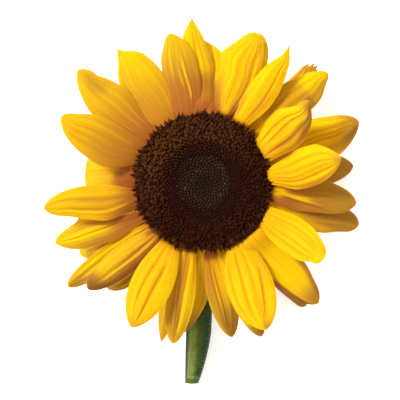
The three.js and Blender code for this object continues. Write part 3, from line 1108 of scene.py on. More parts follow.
LEFT, RIGHT = Side.LEFT, Side.RIGHT
# Patches and each petal's whole amount of amber are painted shade where shade and cast shadows fall; negative
# patches take it away.
PETALS: tuple[Petal, ...] = (
    Petal(5.5, 9.7, 64.8, 9.5, 0.2, 23, arch=13, cup=-3.2, bow=-0.4, point=0.72, root_width=0.24, lip=3.0,
          lift=5.5,
          swells=(Swell(LEFT, 0.3, -1.0, 0.12), Swell(LEFT, 0.72, 0.9, 0.12),
                  Swell(RIGHT, 0.25, 0.8, 0.15)),
          ribs=(Rib(0.7, 0.3, 0.15), Rib(0.45, -0.25, 0.08), Rib(0.05, -0.3, 0.07),
                Rib(-0.25, -0.5, 0.07, 0.08), Rib(-0.5, -0.8, 0.07, 0.08), Rib(-0.85, -0.7, 0.09)),
          patches=(Patch(0.6, -1.0, 0.25, 0.2, 1.0), Patch(1.0, -0.2, 0.14, 1.0, 0.7),
                   Patch(0.35, 1.0, 0.12, 0.15, 0.7))),
    Petal(19, 21.4, 80.2, 9.4, 1.7, bow=-1.5, widest=0.58, point=0.62,
          swells=(Swell(LEFT, 0.5, 2.0, 0.18), Swell(RIGHT, 0.7, 1.0, 0.15)),
          ribs=(Rib(0.6, 0.4), Rib(0.35, -0.5, 0.06), Rib(0.1, -0.6, 0.06), Rib(-0.1, -0.5, 0.06)),
          patches=(Patch(1.0, -0.1, 0.2, 2.0, 0.95), Patch(0.78, -0.65, 0.28, 0.35, 0.8))),
    Petal(28.6, 37.3, 61.5, 8.5, 0, 25, arch=14, cup=-3.4, bow=-0.6, point=0.75, root_width=0.55, lip=2.6,
          lift=5.5,
          swells=(Swell(LEFT, 0.8, -2.8, 0.14), Swell(RIGHT, 0.4, 2.4, 0.3),
                  Swell(RIGHT, 0.78, 0.8, 0.1)),
          ribs=(Rib(0.45, -0.7, 0.06, -0.35), Rib(0.12, -0.6, 0.06, -0.15), Rib(-0.2, 0.6, 0.14, -0.3),
                Rib(-0.5, -0.9, 0.08, -0.25)),
          patches=(Patch(0.82, -0.6, 0.3, 0.6, 0.9), Patch(0.97, 0.3, 0.13, 1.2, 0.8),
                   Patch(0.32, -0.45, 0.25, 0.12, 0.9), Patch(0.3, 0.0, 0.22, 0.1, 0.4),
                   Patch(0.5, -0.85, 0.4, 0.18, 0.8))),
    Petal(44, 41, 79.3, 9, 1.4, bow=0.5, widest=0.57, point=0.5,
          swells=(Swell(RIGHT, 0.92, -1.9, 0.1), Swell(LEFT, 0.75, -1.2, 0.12),
                  Swell(LEFT, 0.93, -1.1, 0.08)),
          patches=(Patch(0.47, 0.0, 0.25, 3.0, 0.6, 6.0), Patch(0.78, -0.7, 0.2, 0.5, 0.7, 3.0)),
          ribs=(Rib(0.6, 0.3), Rib(0.1, 0.25, 0.15), Rib(-0.2, -0.3, 0.07, 0.0, 0.5))),
    Petal(51, 46.8, 80.6, 5.6, 3.0, point=0.35, tone=0.75, end=Tip.TOOTHED,
          swells=(Swell(LEFT, 0.7, -2.8, 0.2),)),
    Petal(58.5, 57.5, 76, 7, 0.3, bow=-1.3, widest=0.42, point=1.25, lip=1.0, lift=5,
          swells=(Swell(LEFT, 0.85, -1.0, 0.08), Swell(RIGHT, 0.85, 0.8, 0.1)),
          ribs=(Rib(0.4, 0.3, 0.2), Rib(0.0, -0.2, 0.1), Rib(-0.35, -0.45, 0.12)),
          patches=(Patch(0.2, -0.45, 0.25, 0.25, 0.45), Patch(0.2, 0.85, 0.15, 0.15, 0.6),
                   Patch(1.0, -0.5, 0.08, 0.5, 0.5))),
    Petal(66, 69.1, 76.9, 8.5, 2.2, widest=0.6, point=0.5, patches=(Patch(0.95, -0.6, 0.15, 0.5, 0.3),)),
    Petal(74.4, 70.2, 75.3, 9, 1.1, point=0.5, lift=3, end=Tip.NOTCHED,
          swells=(Swell(LEFT, 0.0, -2.2, 0.14), Swell(LEFT, 0.66, 3.0, 0.13)),
          ribs=(Rib(0.3, 0.5, 0.07, -0.3, 0.0, 0.8), Rib(0.05, -0.35, 0.07, -0.1), Rib(-0.3, -0.3, 0.07),
                Rib(-0.65, -0.35, 0.08)),
          patches=(Patch(0.08, 0.9, 0.3, 0.5, 1.0), Patch(0.05, -0.8, 0.18, 0.45, 1.3),
                   Patch(0.45, -0.45, 0.45, 0.14, 0.4), Patch(0.87, -0.72, 0.12, 0.07, 0.8),
                   Patch(0.75, -0.95, 0.2, 0.12, 0.4))),
    Petal(83, 89.4, 69.6, 8.6, 3.35, widest=0.6, point=0.9, root_width=0.6,
          swells=(Swell(RIGHT, 0.84, 1.5, 0.12), Swell(LEFT, 0.9, -1.6, 0.1)),
          patches=(Patch(0.05, 0.0, 0.4, 3.0, 1.15, 6.0),)),
    Petal(92.5, 93.8, 80.4, 7.2, 2.95, bow=0.6, widest=0.42, point=1, roll=1.5,
          swells=(Swell(LEFT, 0.85, 0.8, 0.1), Swell(RIGHT, 0.8, 0.5, 0.1), Swell(RIGHT, 0.5, 2.1, 0.2),
                  Swell(RIGHT, 0.15, 2.0, 0.2)),
          ribs=(Rib(0.4, 0.4), Rib(-0.1, -0.45, 0.07, 0.0, 0.45), Rib(-0.45, -0.3, 0.08, 0.0, 0.45)),
          patches=(Patch(0.12, 0.0, 0.33, 3.0, 0.85, 4.0), Patch(0.0, 0.0, 0.12, 3.0, 0.5),
                   Patch(0.6, -0.9, 0.2, 0.3, 0.5))),
    Petal(102, 102.6, 73.4, 9, 2.1, bow=-1.2, point=0.55, roll=1.2, tone=0.2,
          swells=(Swell(LEFT, 0.0, 1.8, 0.2), Swell(LEFT, 0.88, -1.1, 0.12),
                  Swell(RIGHT, 0.5, -0.8, 0.2)),
          ribs=(Rib(-0.3, 0.9, 0.07, 0.1, 0.1, 0.75), Rib(0.35, 0.4, 0.07, 0.15, 0.4, 1.0),
                Rib(0.0, 0.5, 0.07, 0.1, 0.25, 0.7)), patches=(Patch(0.0, 0.0, 0.7, 3.0, 1.0),)),
    Petal(120, 122.7, 75.7, 9.8, 1.5, bow=-1.5, widest=0.55, point=0.8, root_width=0.42, roll=1.8,
          swells=(Swell(LEFT, 0.88, -1.6, 0.1), Swell(LEFT, 0.5, 2.2, 0.17), Swell(LEFT, 0.15, 2.0, 0.2),
                  Swell(RIGHT, 0.95, -1.4, 0.05), Swell(RIGHT, 0.82, 0.6, 0.06)),
          ribs=(Rib(0.3, 0.25, 0.1), Rib(-0.2, 0.3, 0.1), Rib(-0.6, 0.35, 0.1, 0.2)),
          patches=(Patch(0.0, 0.1, 0.62, 3.0, 0.75), Patch(0.6, 0.7, 0.35, 0.6, 0.15))),
    Petal(138, 138.2, 79.3, 8.8, 0.8, bow=2, point=0.6, root_width=0.5, roll=0.8, tone=0.25,
          swells=(Swell(LEFT, 0.65, 0.7, 0.12), Swell(RIGHT, 0.82, -1.0, 0.06),
                  Swell(RIGHT, 0.52, 1.7, 0.16)),
          ribs=(Rib(0.5, 0.25, 0.1), Rib(-0.1, 0.3, 0.1), Rib(-0.5, 0.25, 0.1)),
          patches=(Patch(0.0, 0.0, 0.55, 3.0, 0.75), Patch(0.8, -0.25, 0.16, 0.55, 0.5))),
    Petal(155.5, 155.4, 73.1, 10, 0, bow=1.9, point=0.62, root_width=0.5, tone=0.1,
          swells=(Swell(RIGHT, 0.85, -1.3, 0.12), Swell(LEFT, 0.3, 2.0, 0.22)),
          ribs=(Rib(0.45, -0.35, 0.06, 0.1), Rib(0.2, -0.35, 0.06), Rib(-0.2, -0.3, 0.06),
                Rib(-0.5, 0.3, 0.1)), patches=(Patch(0.0, 0.0, 0.68, 3.0, 0.78),)),
    Petal(176, 176, 57.8, 8.6, 2.3, -14, arch=12, widest=0.7, point=0.3, root_width=0.6, tone=0.3,
          ribs=(Rib(0.3, 0.25, 0.15), Rib(-0.4, 0.25, 0.15)), swells=(Swell(RIGHT, 0.97, 2.0, 0.1),),
          patches=(Patch(0.1, 0.4, 0.34, 1.3, 1.0, 3.0), Patch(0.0, 0.0, 0.3, 3.0, 0.6),
                   Patch(0.55, 0.0, 0.25, 2.0, 0.2))),
    Petal(193.5, 189.3, 75.8, 7.9, 0.3, bow=-0.5, point=0.6, root_width=0.5, tone=0.22,
          swells=(Swell(LEFT, 0.33, 2.2, 0.17), Swell(LEFT, 0.75, -1.0, 0.12)),
          ribs=(Rib(0.55, 0.6, 0.09, 0.25), Rib(0.35, -0.35, 0.09, 0.2), Rib(0.1, 0.2, 0.1, 0.1),
                Rib(-0.2, -0.3, 0.08, -0.1), Rib(-0.5, 0.25, 0.12)),
          patches=(Patch(0.0, 0.0, 0.22, 3.0, 0.7), Patch(0.4, 0.4, 0.4, 0.12, 0.4),
                   Patch(0.2, 0.85, 0.2, 0.3, 0.6), Patch(0.4, -0.1, 0.3, 0.25, 0.35))),
    Petal(203, 198.6, 66, 7, 3.3, tone=1.0, swells=(Swell(RIGHT, 0.7, 0.8, 0.15),)),
    Petal(208, 202.2, 76.3, 7, 1.5, bow=0.8, point=0.6, tone=0.15,
          swells=(Swell(LEFT, 0.8, 0.5, 0.15), Swell(RIGHT, 0.65, 0.7, 0.12)),
          ribs=(Rib(0.2, 0.8, 0.12, 0.0, 0.3, 1.0), Rib(-0.12, 0.7, 0.1, 0.0, 0.35, 1.0),
                Rib(0.04, -0.5, 0.06), Rib(-0.6, 0.8, 0.15, 0.0, 0.0, 0.4)),
          patches=(Patch(0.0, -0.1, 0.4, 0.7, 1.5), Patch(0.4, 0.8, 0.5, 0.4, 0.8),
                   Patch(0.55, -0.5, 0.3, 0.2, 0.6))),
    Petal(214, 210.1, 70.8, 7.5, 3.8, rests=True, point=0.5, tone=0.95,
          patches=(Patch(1.0, 0.2, 0.1, 2.0, -0.8),)),
    Petal(221, 217.6, 82.5, 5.6, 2.4, cup=1.2, point=0.5, tone=0.12,
          ribs=(Rib(-0.4, 0.6), Rib(-0.1, -0.4, 0.07), Rib(0.2, 0.5)),
          patches=(Patch(0.95, 0.6, 0.22, 1.0, 1.2), Patch(0.0, 0.0, 0.1, 3.0, 0.4))),
    Petal(228, 223, 74.4, 7, 0.8, point=0.6, lift=2, tone=0.32, swells=(Swell(RIGHT, 0.95, 0.8, 0.08),),
          ribs=(Rib(0.35, 0.5, 0.08, -0.25, 0.0, 0.9), Rib(0.1, -0.4, 0.12, -0.1), Rib(-0.5, 0.3, 0.2)),
          patches=(Patch(0.6, 0.9, 0.6, 0.5, 1.5), Patch(1.0, 0.0, 0.18, 2.0, 1.5),
                   Patch(0.3, 0.1, 0.4, 0.12, 0.9), Patch(0.0, -0.5, 0.14, 0.4, 0.9))),
    Petal(233.5, 226.8, 69.4, 8.4, 2.6, widest=0.6, point=0.45, tone=1.05),
    Petal(242.4, 243.9, 76, 9.8, 0.1, point=0.68, lift=3, tone=0.08,
          ribs=(Rib(0.22, -0.9, 0.07, -0.2, 0.2, 1.0), Rib(-0.33, -0.5, 0.06, -0.15, 0.0, 0.8),
                Rib(0.6, 0.3, 0.15)), patches=(Patch(1.0, 0.0, 0.1, 2.0, 0.4),)),
    Petal(252, 255.3, 82, 5, 3.6, rests=True, point=0.9, tone=0.5, ribs=(Rib(-0.3, 0.4), Rib(0.3, 0.4))),
    Petal(258, 259.5, 78.3, 6.6, 1.3, point=0.55, lift=2, tone=0.15,
          ribs=(Rib(0.45, 0.9, 0.2, -0.3), Rib(0.2, -0.6, 0.08, -0.3), Rib(-0.3, 0.3, 0.06)),
          patches=(Patch(0.35, -0.15, 0.5, 0.35, 0.7), Patch(0.85, 0.0, 0.25, 1.0, 0.6),
                   Patch(0.6, -0.7, 0.3, 0.45, 0.4))),
    Petal(268, 262.8, 73.6, 7, 2.6, point=0.8, tone=0.12, ribs=(Rib(0.1, 0.5, 0.1, -0.2, 0.0, 0.7),),
          swells=(Swell(LEFT, 0.5, 1.3, 0.2),),
          patches=(Patch(0.6, 0.9, 0.8, 0.6, 0.4), Patch(1.0, 0.0, 0.22, 2.0, 1.2))),
    Petal(277, 280.6, 76, 7, 2.2, point=0.6, tone=0.22,
          ribs=(Rib(-0.1, -0.8, 0.07, 0.0, 0.1, 1.0), Rib(-0.38, -0.4, 0.06), Rib(0.3, 0.3, 0.15)),
          patches=(Patch(1.0, 0.3, 0.36, 1.2, 1.4), Patch(0.0, 0.0, 0.13, 3.0, 1.1),
                   Patch(0.4, -0.7, 0.35, 0.4, 0.6))),
    Petal(287, 290.8, 78.8, 7, 1.4, point=0.6, tone=0.12,
          patches=(Patch(1.0, 0.0, 0.16, 2.0, 1.4), Patch(0.0, 0.0, 0.12, 2.0, 0.2))),
    Petal(299, 293, 75.4, 10.8, 0.1, point=0.62, lift=4,
          ribs=(Rib(0.5, -0.9, 0.06, -0.45, 0.3, 1.0), Rib(0.1, -0.2, 0.07, -0.15),
                Rib(-0.35, -0.35, 0.07, -0.1), Rib(-0.75, -0.2, 0.08)),
          patches=(Patch(0.85, 0.12, 0.25, 0.06, 0.6, 1.5, -0.45), Patch(1.0, 0.4, 0.09, 0.7, 0.8),
                   Patch(0.35, 0.8, 0.3, 0.2, 0.2))),
    Petal(307, 309.9, 80, 6.6, 3.7, rests=True, bow=1.4, point=0.4, tone=1.2,
          swells=(Swell(RIGHT, 0.85, -0.8, 0.15),)),
    Petal(311.5, 313.5, 79.5, 8.8, 1.1, bow=0.6, point=0.6, root_width=0.62, lift=7.5,
          swells=(Swell(LEFT, 0.8, -0.6, 0.1),), ribs=(Rib(0.4, 0.2), Rib(-0.2, 0.2)),
          patches=(Patch(0.12, 0.0, 0.2, 2.0, 0.1), Patch(0.7, 0.95, 0.4, 0.3, 1.0),
                   Patch(1.0, 0.2, 0.2, 1.6, 1.15), Patch(0.75, -0.95, 0.25, 0.22, 1.7, 3.0))),
    Petal(331, 327.1, 66.2, 8.7, 0, 23, arch=12, cup=-2.8, bow=0.7, point=0.4, root_width=0.5, lip=0.4,
          lift=5, swells=(Swell(LEFT, 0.85, -0.6, 0.1), Swell(RIGHT, 0.88, -1.4, 0.07)),
          ribs=(Rib(0.4, -0.3, 0.07), Rib(0.1, -0.3, 0.07), Rib(-0.3, -0.3, 0.07),
                Rib(-0.6, -0.3, 0.07))),
    Petal(342, 344.9, 78.4, 8.4, 2.6, point=0.5, lip=1.2, lift=4, swells=(Swell(RIGHT, 0.8, -1.0, 0.1),),
          ribs=(Rib(0.1, -0.3, 0.08, 0.0, 0.3), Rib(-0.4, 0.3, 0.12)),
          patches=(Patch(0.9, 0.0, 0.55, 3.0, 1.05, 3.0), Patch(0.5, -0.95, 0.25, 0.5, -0.6, 2.5))),
    Petal(352, 352.2, 74.0, 8.8, 1.5, point=0.6, lip=1.0, lift=5, tone=1.0,
          swells=(Swell(RIGHT, 0.55, -1.8, 0.25),),
          ribs=(Rib(-0.25, 0.6, 0.08, -0.7, 0.0, 0.6), Rib(0.2, 0.15, 0.15)),
          patches=(Patch(0.03, 0.1, 0.15, 0.45, -2.2), Patch(0.25, -0.15, 0.3, 0.1, -1.2, 2.5, -1.1),
                   Patch(0.4, -0.5, 0.35, 0.06, 0.6, 2.0, -1.0))),
    Petal(2, 6.4, 75.4, 7.6, 3.5, rests=True, point=0.6, tone=1.15, ribs=(Rib(0.1, 0.3), Rib(-0.4, 0.2)),
          swells=(Swell(LEFT, 0.8, 1.2, 0.15),)),
)


@dataclass(frozen=True)
class RayPetals:
    """The ring of yellow petals that leaves the receptacle's rim."""

    petals: tuple[Petal, ...] = PETALS
    seat: float = 31.8
    top_root: float = 32.7
    tier_step: float = 1.45
    top_rise: float = 14.0
    tier_drop: float = 9.0
    resting_tip: float = 0.45
    solid_thickness: float = 0.7
    thickness: float = 0.5
    thin_tip: float = 0.45
    thin_from: float = 0.93
    edge_bevel: float = 1.2
    thin_edge: float = 0.3
    gather: float = 0.55
    gathered_root: float = 0.32
    heel_at: float = 0.05
    heel_spread: float = 0.075
    lift_within: float = 0.06
    lift_spread: float = 0.16
    # Painted shade over the heel of a lifted petal, where it stands up on to the face.
    heel_shade: tuple[float, float] = (0.045, 0.015)
    relief_start: float = 0.12
    relief_end: float = 0.86
    least_relief: float = 0.1
    sway: float = 0.05
    sways: float = 1.05
    fine_ribs: tuple[tuple[float, float, float], ...] = (  # height, waves across, drift along
        (0.07, 14.0, 1.0), (0.05, 25.0, -2.0))
    ripples: float = 1.6
    flat_crest: float = 0.42
    end_from: float = 0.78
    tooth_slant: float = 0.08
    tooth_depth: float = 0.11
    tooth_width: float = 0.6
    tooth_shift: float = 0.3
    notch_depth: float = 0.04
    notch_at: float = -0.12
    notch_spread: float = 0.16
    rows: int = 72
    columns: int = 48
    close_rows: float = 1.15
    close_columns: float = 0.4 * math.pi
    first_seed: int = 100

    def make(self, bench: Bench, finish: bpy.types.Material) -> None:
        """Makes every petal.

        Args:
            bench: Where the pieces go.
            finish: The petals' material.
        """
        for number, petal in enumerate(self.petals, 1):
            blade, place, heading = self.set_out(petal)
            draft = self.flat(petal, blade, number).settled(place, heading)
            bench.shape(f"ray_petal_{number:02d}", draft, finish, Slot.PETAL, [f"petal_{number:02d}"])

    def set_out(self, petal: Petal) -> tuple[Blade, Array, float]:
        """Finds where a petal's root stands and which way it runs.

        Args:
            petal: Its place and form.

        Returns:
            Its middle surface, the place of its root and its heading in radians.
        """
        height = self.top_root - self.tier_step * petal.tier
        rise = petal.rise if petal.rise is not None else self.top_rise - self.tier_drop * petal.tier
        rise = self.resting_tip - height if petal.rests else rise
        tip = polar(petal.reach, petal.tip)
        run = tip - polar(self.seat, petal.root)
        blade = Blade(float(np.hypot(*run)), petal.half, rise, petal.arch, petal.cup, petal.bow, petal.widest,
                      petal.point, petal.root_width, petal.end.value, petal.swells)
        root = polar(self.seat + blade.heel(self.solid_thickness), petal.root)
        run = tip - root
        heading = math.atan2(run[1], run[0])
        skew = math.tan(heading - math.radians(petal.root))
        blade = replace(blade, length=float(np.hypot(*run)), skew=skew)
        return blade, np.array([root[0], root[1], height]), heading

    def flat(self, petal: Petal, blade: Blade, number: int) -> Draft:
        """Shapes one petal with its root at the origin.

        Args:
            petal: Its form.
            blade: Its middle surface.
            number: Its number, which sets the chance details.

        Returns:
            The petal, running along +X.
        """
        chance = np.random.default_rng(self.first_seed + number)
        phase = chance.uniform(0, FULL_TURN, 6)
        along, across = np.meshgrid(
            1 - (1 - np.linspace(0, 1, self.rows + 1)) ** self.close_rows,
            np.sin(np.linspace(-1, 1, self.columns + 1) * self.close_columns) / math.sin(self.close_columns),
            indexing="ij")
        reached = along - self.bite(petal, across) * ease(self.end_from, 1.0, along)
        width = np.minimum(1, blade.half_width(reached) / blade.half + self.least_relief)
        body = ease(0.0, self.relief_start, along) * ease(1.0, self.relief_end, along) * width
        relief = self.relief(petal, along, across, phase) * body
        ripple = np.sin(FULL_TURN * self.ripples * along + phase[4] + across)
        surface = blade.middle(reached, across)
        surface[..., 2] += relief + petal.wave * np.abs(across) ** 3 * ripple * body
        surface[..., 2] += petal.roll * across * width + self.raised(petal, along)
        surface[..., 0] -= petal.lip * hump(along, self.heel_at, self.heel_spread)
        ending = self.thin_tip + (1 - self.thin_tip) * ease(1.0, self.thin_from, along)
        thick = self.thickness / 2 * ending * blade.thinning(reached, across, self.edge_bevel, self.thin_edge)
        return Draft.sheeted(surface, thick, {
            "along": along, "across": across, "crest": np.clip(self.flat_crest + relief, 0, 1),
            "tone": self.tone(petal, along, across), "lot": np.full(along.shape, chance.uniform())})

    def relief(self, petal: Petal, along: Array, across: Array, phase: Array) -> Array:
        """Adds up a petal's ribs and the fine lines between them.

        Args:
            petal: Its form.
            along: Shares of its length.
            across: -1 at its right edge to 1 at its left.
            phase: Where its chance waves start, in radians.

        Returns:
            How far each place stands up.
        """
        sway = across + self.sway * np.sin(FULL_TURN * self.sways * along + phase[0]) * (1 - across ** 2)
        relief = sum((rib.height(along, sway) for rib in petal.ribs), 0 * along)
        for start, (high, waves, drift) in zip(phase[1:], self.fine_ribs):
            relief = relief + high * np.cos(waves * sway + start + drift * along)
        return relief

    def raised(self, petal: Petal, along: Array) -> Array:
        """How far a petal's root is raised: gathered towards the front ones, and lifted on to the face.

        Args:
            petal: Its form.
            along: Shares of its length.

        Returns:
            The height at each.
        """
        gathered = self.gather * self.tier_step * petal.tier * ease(self.gathered_root, 0.0, along)
        past = np.maximum(along - self.lift_within, 0)
        return gathered + petal.lift * ease(0.0, self.lift_within, along) * hump(past, 0.0, self.lift_spread)

    def tone(self, petal: Petal, along: Array, across: Array) -> Array:
        """How far each place on a petal is turned to amber as painted shade, with the whole heel of a lifted
        one.

        Args:
            petal: Its form.
            along: Shares of its length.
            across: -1 at its right edge to 1 at its left.

        Returns:
            The painted shade, 0 to 2.
        """
        patches = sum((patch.tone(along, across) for patch in petal.patches), 0 * along)
        heel = ease(*self.heel_shade, along) * (petal.lift > 0)
        return np.clip(petal.tone + patches + heel, 0, 2)

    def bite(self, petal: Petal, across: Array) -> Array:
        """Finds how much of a petal's end is missing.

        Args:
            petal: Its form.
            across: -1 at its right edge to 1 at its left.

        Returns:
            What is missing, as a share of its length.
        """
        if petal.end is Tip.TOOTHED:
            teeth = np.abs((across / self.tooth_width + self.tooth_shift) % 1 - 0.5)
            return self.tooth_slant * np.maximum(0, across) + self.tooth_depth * teeth
        if petal.end is Tip.NOTCHED:
            return self.notch_depth * hump(across, self.notch_at, self.notch_spread)
        return 0 * across


@dataclass(frozen=True)
class BractRow:
    """One row of green leaves behind the petals (mm, degrees)."""

    name: str
    count: int
    first_bearing: float
    length: float
    half: float
    tip: float
    root_radius: float
    root_height: float
    arch: float


@dataclass(frozen=True)
class Bracts:
    """The two rows of bracts under the petals."""

    rows: tuple[BractRow, ...] = (
        BractRow("bract_inner", 13, 283.8, 23, 6.8, 2.6, 31.8, 24.9, 12),
        BractRow("bract_outer", 8, 292.5, 20, 5.4, 1.2, 24.5, 21.05, 20),
    )
    cup: float = -1.0
    root_width: float = 0.8
    widest: float = 0.3
    point: float = 1.15
    tip_half: float = 0.3
    solid_thickness: float = 0.9
    thickness: float = 0.6
    edge_bevel: float = 1.5
    thin_edge: float = 0.35
    veins: float = 3.0
    veins_fade: float = 0.6
    vein_height: float = 0.12
    relief_start: float = 0.12
    relief_end: float = 0.85
    rib_depth: float = 0.35
    rib_width: float = 0.16
    wave: float = 0.35
    waves: float = 7.0
    root_flush: float = 0.25
    flushed_root: float = 0.25
    grid: tuple[int, int] = (36, 18)
    first_seed: int = 500

    def make(self, bench: Bench, finish: bpy.types.Material) -> list[bpy.types.Mesh]:
        """Makes every bract.

        Args:
            bench: Where the pieces go.
            finish: The bracts' material.

        Returns:
            Their meshes, for their hair.
        """
        meshes = []
        for row in self.rows:
            for number in range(1, row.count + 1):
                node = f"{row.name}_{number:02d}"
                draft = self.draft(row, number)
                meshes.append(bench.shape(f"leafy_{node}", draft, finish, Slot.BRACT, [node]))
        return meshes

    def draft(self, row: BractRow, number: int) -> Draft:
        """Shapes one bract in the bloom.

        Args:
            row: The row that it is in.
            number: Its number, which sets its bearing and the chance details.

        Returns:
            The bract.
        """
        bearing = row.first_bearing + 360 / row.count * (number - 1)
        chance = np.random.default_rng(self.first_seed + number + row.count)
        blade = Blade(row.length, row.half, row.tip - row.root_height, row.arch, self.cup, 0.0, self.widest,
                      self.point, self.root_width, self.tip_half)
        along, across = np.meshgrid(np.linspace(0, 1, self.grid[0] + 1), np.linspace(-1, 1, self.grid[1] + 1),
                                    indexing="ij")
        veins = np.cos(math.pi * self.veins * across) * ease(1.0, self.veins_fade, along)
        rib = hump(across, 0.0, self.rib_width)
        body = ease(0.0, self.relief_start, along) * ease(1.0, self.relief_end, along)
        wave = np.abs(across) ** 3 * np.sin(self.waves * along + chance.uniform(0, 6.28))
        surface = blade.middle(along, across)
        surface[..., 2] += body * (self.vein_height * veins - self.rib_depth * rib + self.wave * wave)
        thick = self.thickness / 2 * blade.thinning(along, across, self.edge_bevel, self.thin_edge)
        nothing = np.zeros(along.shape)
        sheet = Draft.sheeted(surface, thick, {
            "crest": np.clip(0.25 + 0.25 * veins + 0.8 * rib, 0, 1),
            "flush": nothing + self.root_flush * ease(self.flushed_root, 0.0, along),
            "pale": nothing, "dark": nothing})
        root = polar(row.root_radius + blade.heel(self.solid_thickness), bearing)
        return sheet.settled((*root, row.root_height), math.radians(bearing))


# ------------------------------------------------------------------ stem and receptacle


def bezier(corners: Sequence[Point], steps: int = 200) -> Array:
    """Lays points along a cubic curve.

    Args:
        corners: Its four control points.
        steps: How many points to lay.

    Returns:
        The points, from the first corner to the last.
    """
    share = np.linspace(0, 1, steps)[:, None]
    start, first, second, stop = (np.array(corner, float) for corner in corners)
    return (start * (1 - share) ** 3 + 3 * first * share * (1 - share) ** 2
            + 3 * second * share ** 2 * (1 - share) + stop * share ** 3)


@dataclass(frozen=True)
class Stem:
    """The ribbed stem: down from the neck, round a bend and along the floor to its cut end (mm).

    Stretches are shares of its length from the neck, or distances from the cut. Lines along it are placed
    by how far they stand to its right, from -1 to 1.
    """

    top: float = 18.7
    neck_radius: float = 6.8
    radius: float = 6.3
    cut_radius: float = 3.4
    cut_x: float = -2.6
    cut_y: float = -99.4
    quarter: float = 0.5523
    lead: float = 0.4
    taper_length: float = 27.0
    taper_power: float = 1.6
    ribs: int = 9
    rib_height: float = 0.16
    rib_turn: float = 1.1
    rib_sway: float = 0.5
    rib_waves: float = 5.0
    rib_power: float = 0.7
    flat_end: float = 0.985
    cut_band: tuple[float, float] = (2.4, 3.0)
    cut_flush: float = 0.25
    flush_line: tuple[float, float] = (-0.3, 0.34)
    flush_stretch: tuple[float, float] = (0.62, 0.8)
    ring_line: tuple[float, float] = (3.1, 0.45)
    ring_shade: float = 0.2
    # A painted highlight streak along the stem, left of its middle, fading in along it.
    highlight_line: tuple[float, float] = (-0.66, 0.16)
    highlight_stretches: tuple[tuple[float, float, float], ...] = ((0.3, 0.5, 0.65), (0.35, 0.75, 0.85))
    # Painted shade on the stem's two sides, as seen from above, fading out near the cut.
    shade_middle: float = -0.05
    shade_sides: tuple[float, float] = (0.55, 0.95)
    shade_band: tuple[float, float] = (1.5, 3.5)
    around: int = 90
    along: int = 130

    def centreline(self) -> Array:
        """Lays points down the middle of the stem before it narrows, evenly spaced.

        Returns:
            The points, from the neck to the cut.
        """
        low, bend = self.radius, self.top - self.radius
        lead = (-self.cut_y - bend) * self.lead
        drop = bezier(((0, 0, self.top), (0, 0, self.top - bend * self.quarter),
                       (0, -bend * (1 - self.quarter), low), (0, -bend, low)))
        run = bezier(((0, -bend, low), (0, -bend - lead, low), (self.cut_x, self.cut_y + lead, low),
                      (self.cut_x, self.cut_y, low)))
        path = np.concatenate([drop, run[1:]])
        walked = np.concatenate([[0], np.cumsum(np.linalg.norm(np.diff(path, axis=0), axis=1))])
        even = np.linspace(0, walked[-1], self.along)
        return np.stack([np.interp(even, walked, line) for line in path.T], -1)

    def draft(self) -> Draft:
        """Wraps the ribbed skin round the centreline.

        Returns:
            The stem, with the flat cut face at its end.
        """
        centre = self.centreline()
        tangent = np.gradient(centre, axis=0)
        tangent[0], tangent[-1] = (0, 0, -1), (0, -1, 0)
        tangent /= np.linalg.norm(tangent, axis=1, keepdims=True)
        taper = np.clip(1 - (centre[:, 1] - self.cut_y) / self.taper_length, 0, 1)
        lost = (self.radius - self.cut_radius) * taper ** self.taper_power
        upright = np.clip(-tangent[:, 2], 0, 1)
        radius = self.radius - lost + (self.neck_radius - self.radius) * upright
        centre = centre + np.stack([-lost, 0 * lost, -lost], -1)
        side = np.array([1.0, 0, 0]) - tangent * tangent[:, :1]
        side /= np.linalg.norm(side, axis=1, keepdims=True)
        outward = np.cross(tangent, side)
        angle = spokes(self.around)
        share = np.linspace(0, 1, self.along)[:, None]
        swing = self.ribs * angle + self.rib_turn + self.rib_sway * np.sin(self.rib_waves * share)
        rib = (0.5 + 0.5 * np.cos(swing)) ** self.rib_power
        skin = radius[:, None] - self.rib_height * (1 - rib) * ease(1.0, self.flat_end, share)
        rings = (centre[:, None] + side[:, None] * (skin * np.cos(angle))[..., None]
                 + outward[:, None] * (skin * np.sin(angle))[..., None])
        rings[..., 2] = np.maximum(rings[..., 2], 0.0)
        measures = {"crest": rib, **self.marks(np.cos(angle) + 0 * share, share, rings[..., 1] - self.cut_y)}
        return Draft.ringed(rings[:, ::-1], {name: values[:, ::-1] for name, values in measures.items()})

    def marks(self, aside: Array, share: Array, end: Array) -> dict[str, Array]:
        """Finds where the skin is flushed yellow, pale at a ring or a painted highlight streak, or dark with
        painted shade.

        Args:
            aside: How far each place stands to the stem's right, from -1 to 1.
            share: Its share of the stem's length.
            end: Its distance from the cut.

        Returns:
            The three measures at each place.
        """
        skin = ease(*self.cut_band, end)
        flush = hump(aside, *self.flush_line) * ease(*self.flush_stretch, share)
        ring = hump(end, *self.ring_line)
        # Painted highlight streak, kept off the cut end.
        fading = sum(level * ease(start, stop, share) for level, start, stop in self.highlight_stretches)
        streak = fading * hump(aside, *self.highlight_line) * skin
        return {
            "flush": flush * skin + self.cut_flush * (1 - skin),
            "pale": np.maximum(ring, streak) * (1 - self.ring_shade * ring),
            # Painted shade on both sides, off the cut end.
            "dark": ease(*self.shade_sides, np.abs(aside - self.shade_middle)) * ease(*self.shade_band, end),
        }

    def make(self, bench: Bench, finish: bpy.types.Material) -> bpy.types.Mesh:
        """Makes the stem and returns its mesh, for its bristles."""
        return bench.shape("ribbed_stem", self.draft(), finish, Slot.STEM, ["stem"])


